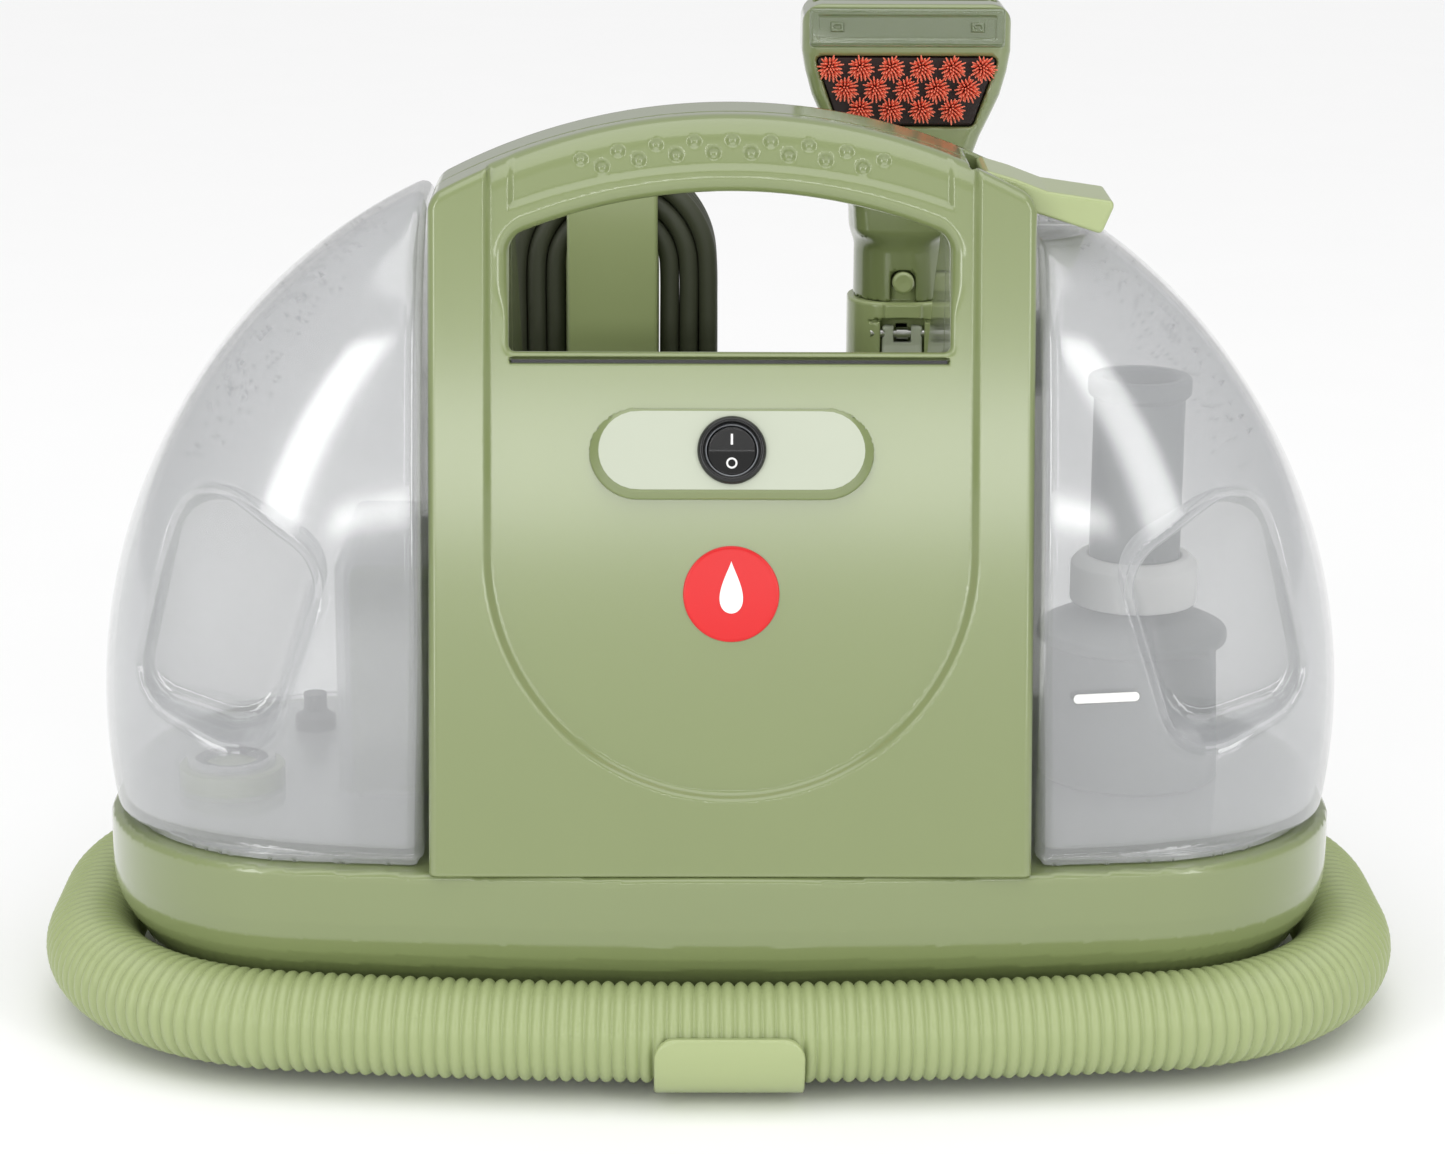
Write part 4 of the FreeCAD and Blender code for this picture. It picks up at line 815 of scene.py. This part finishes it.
for sign, label in ((1, "on"), (-1, "off")):
    tilt = math.atan(0.17) * -sign
    way = ROCKER_NORMAL * math.cos(tilt) + ROCKER_UP * math.sin(tilt)
    along = ROCKER_UP * math.cos(tilt) - ROCKER_NORMAL * math.sin(tilt)
    spot = ROCKER_AT + ROCKER_UP * sign * 3.7 + ROCKER_NORMAL * (1.2 + 0.17 * 3.75)
    if sign > 0:
        bar = [(-0.35, -1.7), (0.35, -1.7), (0.35, 1.7), (-0.35, 1.7)]
        mark = plate("mark_on", bar, spot, X_WAY, along, -0.4, 0.14)
    else:
        mark = ring_plate("mark_off", 1.15, 1.75, spot, way)
    piece("switch_mark_" + label, mark, "rocker", "mark_white")

# ---- badge ---------------------------------------------------------------------------------

FACE_UP = np.array((0, SIN_L, COS_L))
FACE_OUT = np.array((0, -COS_L, SIN_L))
badge_at = np.array((MIDDLE_X, face_y(157), 157)) - FACE_OUT * 2.5
# Black sheet set just inside the groove under the deck's front edge: painted shade in the gap.
groove_shade_at = np.array((1.5, face_y(GROOVE_Z), GROOVE_Z)) - FACE_OUT * 3.9
piece("deck_groove_painted_shade", plate("deck_groove", [(-67.6, -0.8), (67.6, -0.8), (67.6, 0.8), (-67.6, 0.8)], groove_shade_at,
      X_WAY, FACE_UP, -0.4, 0.4), "machine", "black_plastic")
badge_profile = eased([(0.01, -0.6), (15, -0.6), (15, 0.5), (14.2, 0.8), (0.01, 0.8)], 0.3)
piece("badge_disc", turned_mesh("badge_disc", badge_profile, badge_at, FACE_OUT, 72), "machine", "badge_red")
drop = []
for k in range(48):
    angle = 2 * math.pi * k / 48
    drop.append((5.2 * math.sin(angle) * math.sin(angle / 2) ** 1.5, 2.2 + 8.2 * math.cos(angle)))
piece("badge_drop", plate("badge_drop", drop[::-1], badge_at, X_WAY, FACE_UP, 0.3, 1.1), "machine", "mark_white")


# ---- tanks ---------------------------------------------------------------------------------

def dome(x, y, z):
    """The dome that both tanks are cut from."""
    drop = np.clip(z - 105, -186, 186)
    share = np.clip((z - 72) / 215, 0, 1)
    long_half = 15.6 + np.sqrt(187.0 ** 2 - drop ** 2)
    deep_half = np.maximum(94 * np.sqrt(1 - share ** 2.2), 4)
    u = np.abs(x) / long_half
    v = np.abs(y + 12 * share ** 2) / deep_half
    plan = (u ** 3.3 + v ** 3.3 + 1e-9) ** (1 / 3.3)
    slope = np.hypot(u ** 2.3 / long_half, v ** 2.3 / deep_half) / plan ** 2.3
    side = (plan - 1) / np.maximum(slope, 1e-4)
    lean = 1 / np.sqrt(1 + (drop / np.sqrt(187.0 ** 2 - drop ** 2)) ** 2 * np.minimum(u, 1) ** 2)
    return side * lean


POCKET = rounded([(-169, 192), (-125, 164), (-145, 102), (-187, 118)], 15)


def grip(x, y, z, side, outset):
    outline = flat([(side * -px, pz) for px, pz in POCKET], x + 0 * y, z + 0 * y) - outset
    return outline, y + 54 - outset


def tank_field(side, inner_x, wall):
    """Solid out to one skin of the tank: wall 0 for the outside, more for the inside."""
    def field(x, y, z):
        solid = both(np.maximum(dome(x, y, z), z - 273) + wall, inner_x + wall - side * x, 5)
        solid = both(solid, 72 + wall - z, 1.5)
        if not wall:
            plan = base_plan(x, y)
            foot = both(both(np.abs(plan + 9.5) - 3, 70.2 - z, 0.4), inner_x + 2 - side * x, 1)
            solid = either(solid, np.maximum(foot, z - 73), 1.2)
        outline, floor = grip(x, y, z, side, wall)
        solid = less(solid, both(outline, floor, 6), 3.5)
        if side < 0:
            recess = box(x, y, z, (-123.5 - wall, -29.5 - wall, 0), (0, 47.5 + wall, 151.5 + wall), 4)
            solid = less(solid, recess, 1.5)
        else:
            notch = box(x, y, z, (0, -53 - wall, 261.5 - wall), (140, -17 + wall, 400), 2)
            solid = less(solid, notch, 1)
        return solid
    return field


def make_tank(name, side, inner_x, low, high):
    """Thin translucent shell with its pockets, neck or port."""
    outer = tank_field(side, inner_x, 0)
    inner = tank_field(side, inner_x, 2.5)

    def field(x, y, z):
        room = inner(x, y, z)
        solid = outer(x, y, z)
        if side < 0:
            around = np.hypot(x + 162, y + 20)
            room = less(room, np.maximum(around - 14.5, z - 84), 0.6)
            return less(less(solid, room), np.maximum(around - 12, z - 90), 0.6)
        port = np.maximum(np.hypot(y + 8, z - 218) - 11, x - 116.5)
        return less(less(solid, room), port, 0.6)

    piece(name + "_moulded", net(name, field, low, high, 1.5), name, "smoky_tank", (name + "_shell",))


make_tank("clean_tank", -1, 94, (-204, -96, 69), (-93, 96, 275))
make_tank("dirty_tank", 1, 98.5, (97, -96, 69), (204, 96, 275))



def dirty_front(x, z):
    """Y of the dirty tank's front skin."""
    share = np.clip((z - 72) / 215, 0, 1)
    long_half = 15.6 + math.sqrt(187.0 ** 2 - (z - 105) ** 2)
    deep_half = 94 * math.sqrt(1 - share ** 2.2)
    return -12 * share ** 2 - deep_half * (1 - (x / long_half) ** 3.3) ** (1 / 3.3)


def level_bar(x, y, z):
    across = np.maximum(np.abs(x - 119.5) - 9, 0)
    rim = np.hypot(across, z - 125) - 1.5
    skin = dirty_front(119.5, 125) + (x - 119.5) * (dirty_front(124, 125) - dirty_front(115, 125)) / 9
    return both(rim, np.abs(y - skin + 0.1) - 0.5, 0.3)


piece("level_bar", net("level_bar", level_bar, (107, -96, 122), (132, -82, 128), 0.4), "dirty_tank", "mark_white")


# ---- tank fittings -------------------------------------------------------------------------

def ribbed_side(name, centre, profile, ribs, depth, low, high, body, look, node):
    """Turned part whose side between two heights has upright grip ribs."""
    around = ribs * 4
    rows = []
    for radius, height in profile:
        row = []
        for step in range(around):
            angle = 2 * math.pi * step / around
            cut = depth * (step % 4 in (2, 3)) if low < height < high else 0
            row.append([centre[0] + (radius - cut) * math.cos(angle), centre[1] + (radius - cut) * math.sin(angle),
                        height])
        rows.append(row)
    piece(node + "_turned", rows_mesh(name, rows), body, look, (node,))


ribbed_side("tank_cap", (-162, -20), eased([(0.01, 81), (17.5, 81), (17.5, 73), (17.5, 72.6), (14.8, 72.3),
            (14.8, 74), (0.01, 74)], 0.5), 30, 0.7, 73.2, 80.2, "tank_cap", "green_body",
            "clean_tank_cap")
stack_profile = eased([(12.6, 74.6), (30, 74.6), (28, 121), (31.5, 121), (31.5, 125), (21, 130), (15, 132),
                       (15, 203), (17, 204), (17, 210), (12.6, 210), (12.6, 74.6)], 1.2)
piece("separator_stack_turned", turned_mesh("separator_stack", stack_profile, (137, -5, 0), around=64), "dirty_tank",
      "stack_grey", ("separator_stack",))
float_profile = eased([(15.6, 134), (21, 134), (21, 147), (18, 150), (15.6, 150), (15.6, 134)], 0.8)
piece("stack_float_turned", turned_mesh("stack_float", float_profile, (137, -5, 0), around=64), "float",
      "mark_white", ("stack_float",))


def pump_cover(x, y, z):
    shell = box(x, y, z, (-122, -28, 70), (-88, 46, 150), 5)
    shell = np.maximum(shell, x + 92.1)
    lines = np.maximum(np.abs(np.abs(z - 112) - 18) - 0.8, -119.6 - x)
    shell = less(shell, np.maximum(lines, x + 121), 0.4)
    return less(shell, box(x, y, z, (-119.5, -25.5, 60), (-80, 43.5, 147.5), 3))


moulded("pump_cover", pump_cover, (-123, -29, 69), (-91, 47, 151), 1.4, "machine", "green_body")


# ---- latch lever ---------------------------------------------------------------------------

LEVER = rounded([(79.3, 285.1), (90, 282), (100.5, 278), (121, 275), (121.2, 273), (117.6, 264.5), (110, 267),
                 (99, 270.5), (91, 272.5), (84, 273.5), (81.5, 277)], 1.6)


def lever(x, y, z):
    leaf = flat(LEVER, x + 0 * y, z + 0 * y)
    solid = both(leaf, np.abs(y + 35) - 15, 1.2)
    hollow = both(leaf + 2.2, np.abs(y + 35) - 12.5, 1)
    under = np.maximum(hollow, np.where(x > 100, z - 272.5, 9))
    return less(less(solid, under), np.hypot(x - 87, z - 277) - 2.05)


moulded("latch_lever", lever, (80, -51, 263), (122, -19, 286), 0.7, "latch", "green_painted_light")


# ---- cord bracket, gland and wand holder ---------------------------------------------------

def racetrack(x, z, half, low, high):
    return np.hypot(x - HANK_X, z - np.clip(z, low + half, high - half)) - half


def bracket(x, y, z):
    front = both(np.hypot(np.maximum(np.abs(x - HANK_X) - 9.5, 0), np.maximum(np.abs(z - 194) - 72, 0)) - 6,
                 np.abs(y - 62.75) - 2.75, 0.8)
    post = np.maximum(racetrack(x, z, 15.6, 139.3, 248.7), np.abs(y - 78.8) - 14.0)
    back = both(np.hypot(np.maximum(np.abs(x - HANK_X) - 5, 0), np.maximum(np.abs(z - 193) - 71, 0)) - 5,
                np.abs(y - 94) - 1.5, 0.8)
    slot = box(x, y, z, (HANK_X - 5, 90, 160), (HANK_X + 5, 100, 228), 4)
    return less(either(either(front, post, 1.5), back, 1.5), np.maximum(slot, 92.7 - y), 0.5)


moulded("cord_wrap_bracket", bracket, (-54, 59, 115), (-20, 97, 273), 1.4, "machine", "green_painted_light")


def gland(x, y, z):
    block = box(x, y, z, (37, 59.8, 87), (48, 86, 103), 2)
    nose = both(np.hypot(y - 79, z - 95) - 5.5 + 0.12 * (39 - x), np.maximum(33 - x, x - 40), 0.8)
    return either(block, nose, 1)


moulded("cord_gland", gland, (32, 59, 86), (49, 87, 104), 0.8, "machine", "black_rubber")


def holder(x, y, z):
    plate_part = box(x, y, z, (39, 60, 144), (86, 61.3, 164), 0.6)
    arms = np.minimum(box(x, y, z, (39, 60, 144), (43, 90, 160), 1.2),
                      box(x, y, z, (82, 60, 144), (86, 90, 160), 1.2))
    hooks = np.minimum(box(x, y, z, (42, 86.5, 145), (44.2, 90, 159), 0.8),
                       box(x, y, z, (81.9, 86.5, 145), (83, 90, 159), 0.5))
    return either(either(plate_part, arms, 1.2), hooks, 0.5)


moulded("wand_holder", holder, (38, 59, 143), (87, 91, 165), 0.9, "machine", "green_painted_light")


# ---- wand ----------------------------------------------------------------------------------

def slab(x, y, half_x, half_y, bend):
    u = np.abs(x - WAND_X) - half_x + bend
    v = np.abs(y - WAND_Y) - half_y + bend
    return np.hypot(np.maximum(u, 0), np.maximum(v, 0)) + np.minimum(np.maximum(u, v), 0) - bend


def wand_cuff(x, y, z):
    around = np.hypot(x - WAND_X, y - WAND_Y)
    cone = around - np.interp(z, (132, 140, 160), (17.2, 17.2, 18.5)) - 0.35 * np.cos((z - 140) * 2 * math.pi / 5)
    return less(both(cone, np.abs(z - 146) - 14, 0.8), np.maximum(around - 15.5, z - 140))


def wand(x, y, z):
    around = np.hypot(x - WAND_X, y - WAND_Y)
    grip_part = both(slab(x, y, 18.5, 17, 14), np.abs(z - 190) - 30, 1.2)
    rib = both(np.abs(x - WAND_X) - 6.5, 63.2 - y, 1.2)
    rib = np.maximum(np.maximum(rib, y - 80), np.abs(z - 190) - 29.5)
    solid = either(grip_part, rib, 1)
    solid = less(solid, np.maximum(np.abs(z - 214.5 + 0.012 * (x - WAND_X) ** 2) - 0.5, y - 67), 0.3)
    collar = np.maximum(around - 13.4, np.abs(z - 230) - 10.2)
    solid = np.minimum(solid, collar)
    cut = box(x, y, z, (WAND_X - 7.6, 40, 172.5), (WAND_X + 7.6, 70.5, 214.5), 2)
    hole = np.maximum(np.maximum(np.hypot(x - WAND_X, z - 227) - 3.9, y - 82), 60 - y)
    return less(less(less(solid, cut, 0.6), around - 11), hole)


moulded("hose_wand_cuff", wand_cuff, (43, 62, 131), (83, 102, 161), 0.8, "machine", "green_painted_light")
moulded("wand_body", wand, (44, 62, 159), (82, 100, 241), 0.8, "machine", "green_painted_light")

TRIGGER = rounded([(65.4, 212), (65.4, 205), (61.8, 189), (61.8, 174), (64.6, 174), (68.2, 203), (69.6, 209),
                   (68.6, 212)], 1.2)


def trigger(x, y, z):
    solid = both(flat(TRIGGER, y + 0 * x, z + 0 * x), np.abs(x - WAND_X) - 7, 1.4)
    ridges = np.maximum(np.hypot(y - 61.4, np.mod(z - 174, 3.4) - 1.7) - 0.8, np.abs(z - 180.8) - 6.6)
    solid = less(solid, np.hypot(y - 67.5, z - 209) - 1.55)
    return less(less(solid, ridges, 0.3), box(x, y, z, (60, 60, 206), (66, 80, 214), 0.5))


moulded("spray_trigger", trigger, (55, 61, 173), (71, 71, 213), 0.6, "trigger", "pale_green_and_painted_light")
button_profile = eased([(0.01, 0), (3.8, 0), (3.8, 5.2), (3.0, 6.0), (0.01, 5.6)], 0.4)
piece("release_button_turned", turned_mesh("button", button_profile, (WAND_X, 70.4, 227), (0, -1, 0), 40), "button",
      "green_painted_light", ("release_button",))


# ---- nozzle --------------------------------------------------------------------------------

NECK_X = [(16.5, 244), (17.2, 252), (19.5, 260), (22.2, 268), (25.5, 277), (29.4, 285), (32.1, 291), (34.3, 299),
          (35.5, 306), (35.5, 322)]


def nozzle_solid(x, y, z, thin, top):
    half = np.interp(z, [p[1] for p in NECK_X], [p[0] for p in NECK_X]) - thin
    wide = (np.abs(x - WAND_X) - half) * 0.92
    deep = np.abs(y - WAND_Y) - np.interp(z, (256, 285), (16.5, 14)) + thin
    head = both(both(wide, deep, max(5 - thin, 1.5)), np.maximum(z - top, 243 - z), 2.5 if not thin else 0.8)
    corner = np.hypot(np.maximum(np.abs(x - WAND_X) - half + 7, 0), np.maximum(z - top + 7, 0)) - 7
    head = np.maximum(head, np.where(z > 300, corner, -9))
    neck = np.maximum(np.hypot(x - WAND_X, y - WAND_Y) - 16.5 + thin, np.abs(z - 235) - 14.8)
    return either(head, neck, 6) if not thin else head


BRUSH = [(-31.5, 304.5), (31.5, 304.5), (23, 280.5), (-23, 280.5)]


def brush_gap(x, z, inset):
    return flat(rounded(BRUSH, 2.0), x - WAND_X, z + 0 * x) + inset


def nozzle(x, y, z):
    solid = nozzle_solid(x, y, z, 0, 322)
    ridge = np.maximum(np.abs(z - 256) - 0.8, np.maximum(62 - y, y - 69))
    solid = less(solid, ridge, 0.4)
    brush = brush_gap(x, z, 0) + 0 * y
    wall = np.maximum(brush - 2, y - 75)
    room = np.maximum(nozzle_solid(x, y, z, 2.2, 319), -wall)
    bore = np.maximum(np.hypot(x - WAND_X, y - WAND_Y) - 13.8, np.abs(z - 234.5) - 15)
    room = np.maximum(np.minimum(room, bore), np.where(z > 306, 71.6 - y, -9))
    solid = less(solid, room)
    solid = less(solid, np.maximum(brush, y - 73), 0.8)
    solid = less(solid, box(x, y, z, (WAND_X - 31, 81, 312), (WAND_X + 31, 89, 330), 1))
    cut = box(x, y, z, (WAND_X - 4.2, 50, 210), (WAND_X + 4.2, WAND_Y, 231.2), 3)
    solid = less(solid, cut, 0.5)
    return less(solid, box(x, y, z, (WAND_X - 33.5, 50, 307.5), (WAND_X + 33.5, 69.2, 321), 1.5), 0.4)


moulded("nozzle_body", nozzle, (26, 64, 219), (100, 100, 323), 1.1, "nozzle", "green_body")


def window(x, y, z):
    solid = box(x, y, z, (WAND_X - 33.2, 66.6, 307.8), (WAND_X + 33.2, 69.0, 320.7), 1.1)
    hollow = box(x, y, z, (WAND_X - 30, 60, 310.4), (WAND_X + 30, 67.2, 318.4), 0.5)
    mark = np.maximum(np.abs(np.abs(x - WAND_X) - 23.8) - 2.2, np.abs(z - 314.6) - 1.6)
    mark = both(np.maximum(mark, -1.0 - mark), np.abs(y - 66.7) - 0.5, 0.15)
    return np.minimum(less(solid, hollow, 0.3), mark)


moulded("nozzle_window", window, (29, 66, 307), (97, 70, 321), 0.7, "nozzle", "clear_window")


def brush_block(x, y, z):
    return both(brush_gap(x, z, 0.3) + 0 * y, np.abs(y - 71) - 2, 0.5)


moulded("brush_block", brush_block, (31, 68, 280), (95, 74, 305), 0.9, "nozzle", "brush_black")


def bristles():
    """Every tuft is a fan of fine tapering bristles round its middle one."""
    points, faces = [], []
    for count, z in ((6, 300.5), (5, 293.4), (4, 286.3)):
        for index in range(count):
            middle = np.array((WAND_X + (index - (count - 1) / 2) * 10.4, 69.2, z))
            spots = [(0.0, 0.0)]
            for ring, number in ((0.3, 6), (0.6, 11), (0.85, 15), (1.0, 19)):
                spots += [(ring, 2 * math.pi * (k + 0.37 * ring * index) / number) for k in range(number)]
            for ring, angle in spots:
                way = np.array((math.cos(angle), 0, math.sin(angle)))
                wave = math.sin(7 * angle + 3 * index + z)
                length = 6.4 - 2.6 * ring * ring - 0.3 * wave
                root = middle + way * 1.6 * ring
                tip = middle + way * (4.2 + 0.5 * wave) * ring - np.array((0, length, 0))
                start = len(points)
                for place, wide in ((root, 0.4), (0.5 * (root + tip), 0.36), (tip, 0.24)):
                    for step in range(5):
                        turn = 2 * math.pi * step / 5
                        points.append(place + wide * np.array((math.cos(turn), 0, math.sin(turn))))
                for row in range(2):
                    for step in range(5):
                        a, b = start + row * 5 + step, start + row * 5 + (step + 1) % 5
                        faces.append((a, b, b + 5, a + 5))
                faces.append(tuple(start + step for step in range(4, -1, -1)))
                faces.append(tuple(start + 10 + step for step in range(5)))
    return mesh_of("bristles", points, faces)


piece("bristle_tufts_fine", bristles(), "nozzle", "bristle", ("bristle_tufts",))


# ---- carried-over nodes --------------------------------------------------------------------

CARRIED = {
    "black_rubber": ("rubber_feet", "cap_gasket", "motor_mounts", "tank_seal"),
    "black_plastic": ("switch_body", "clean_tank_valve"),
    "grey_plastic": ("base_bottom_plate", "pump_body", "pump_plunger", "fan_housing", "impeller", "exhaust_grille"),
    "steel": ("base_screws", "housing_screws", "latch_pin", "latch_spring", "trigger_pin", "trigger_spring"),
    "motor_steel": ("motor_can", "motor_shaft"),
    "brass": ("plug_blades",),
    "clear_line": ("water_line",),
}
for look, names in CARRIED.items():
    for name in names:
        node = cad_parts[name]
        node.data.materials.clear()
        node.data.materials.append(M[look])

# ---- floor, lights and white surroundings --------------------------------------------------

floor_mesh = bpy.data.meshes.new("floor")
floor_mesh.from_pydata([(-6, -6, 0), (6, -6, 0), (6, 6, 0), (-6, 6, 0)], [], [(0, 1, 2, 3)])
floor = bpy.data.objects.new("floor", floor_mesh)
scene.collection.objects.link(floor)
floor_mesh.materials.append(material("floor_white", (250, 250, 250), rough=0.8, bump=0.0, vary=0.005))


def area_light(name, place, aim, size, power):
    lamp = bpy.data.lights.new(name, "AREA")
    lamp.shape = "RECTANGLE"
    lamp.size, lamp.size_y = size
    lamp.energy = power
    holder = bpy.data.objects.new(name, lamp)
    holder.location = place
    way = Vector(aim) - Vector(place)
    holder.rotation_euler = way.to_track_quat("-Z", "Y").to_euler()
    scene.collection.objects.link(holder)


area_light("front_strip", (0, -2.3, 0.56), (0, 0, 0.30), (2.6, 0.14), 8)
area_light("left_strip", (-1.35, -1.5, 0.9), (0, 0, 0.15), (0.4, 1.5), 10)
area_light("right_strip", (1.35, -1.5, 0.9), (0, 0, 0.15), (0.4, 1.5), 9)

sun = bpy.data.lights.new("soft_top", "SUN")
sun.energy = 1.5
sun.angle = math.radians(70)
sun_holder = bpy.data.objects.new("soft_top", sun)
sun_holder.rotation_euler = (math.radians(8), 0, 0)
scene.collection.objects.link(sun_holder)

world = bpy.data.worlds.new("white_room")
scene.world = world
world.use_nodes = True
world.node_tree.nodes["Background"].inputs["Color"].default_value = (1, 1, 1, 1)
world.node_tree.nodes["Background"].inputs["Strength"].default_value = 0.5
scene.view_settings.view_transform = "Standard"
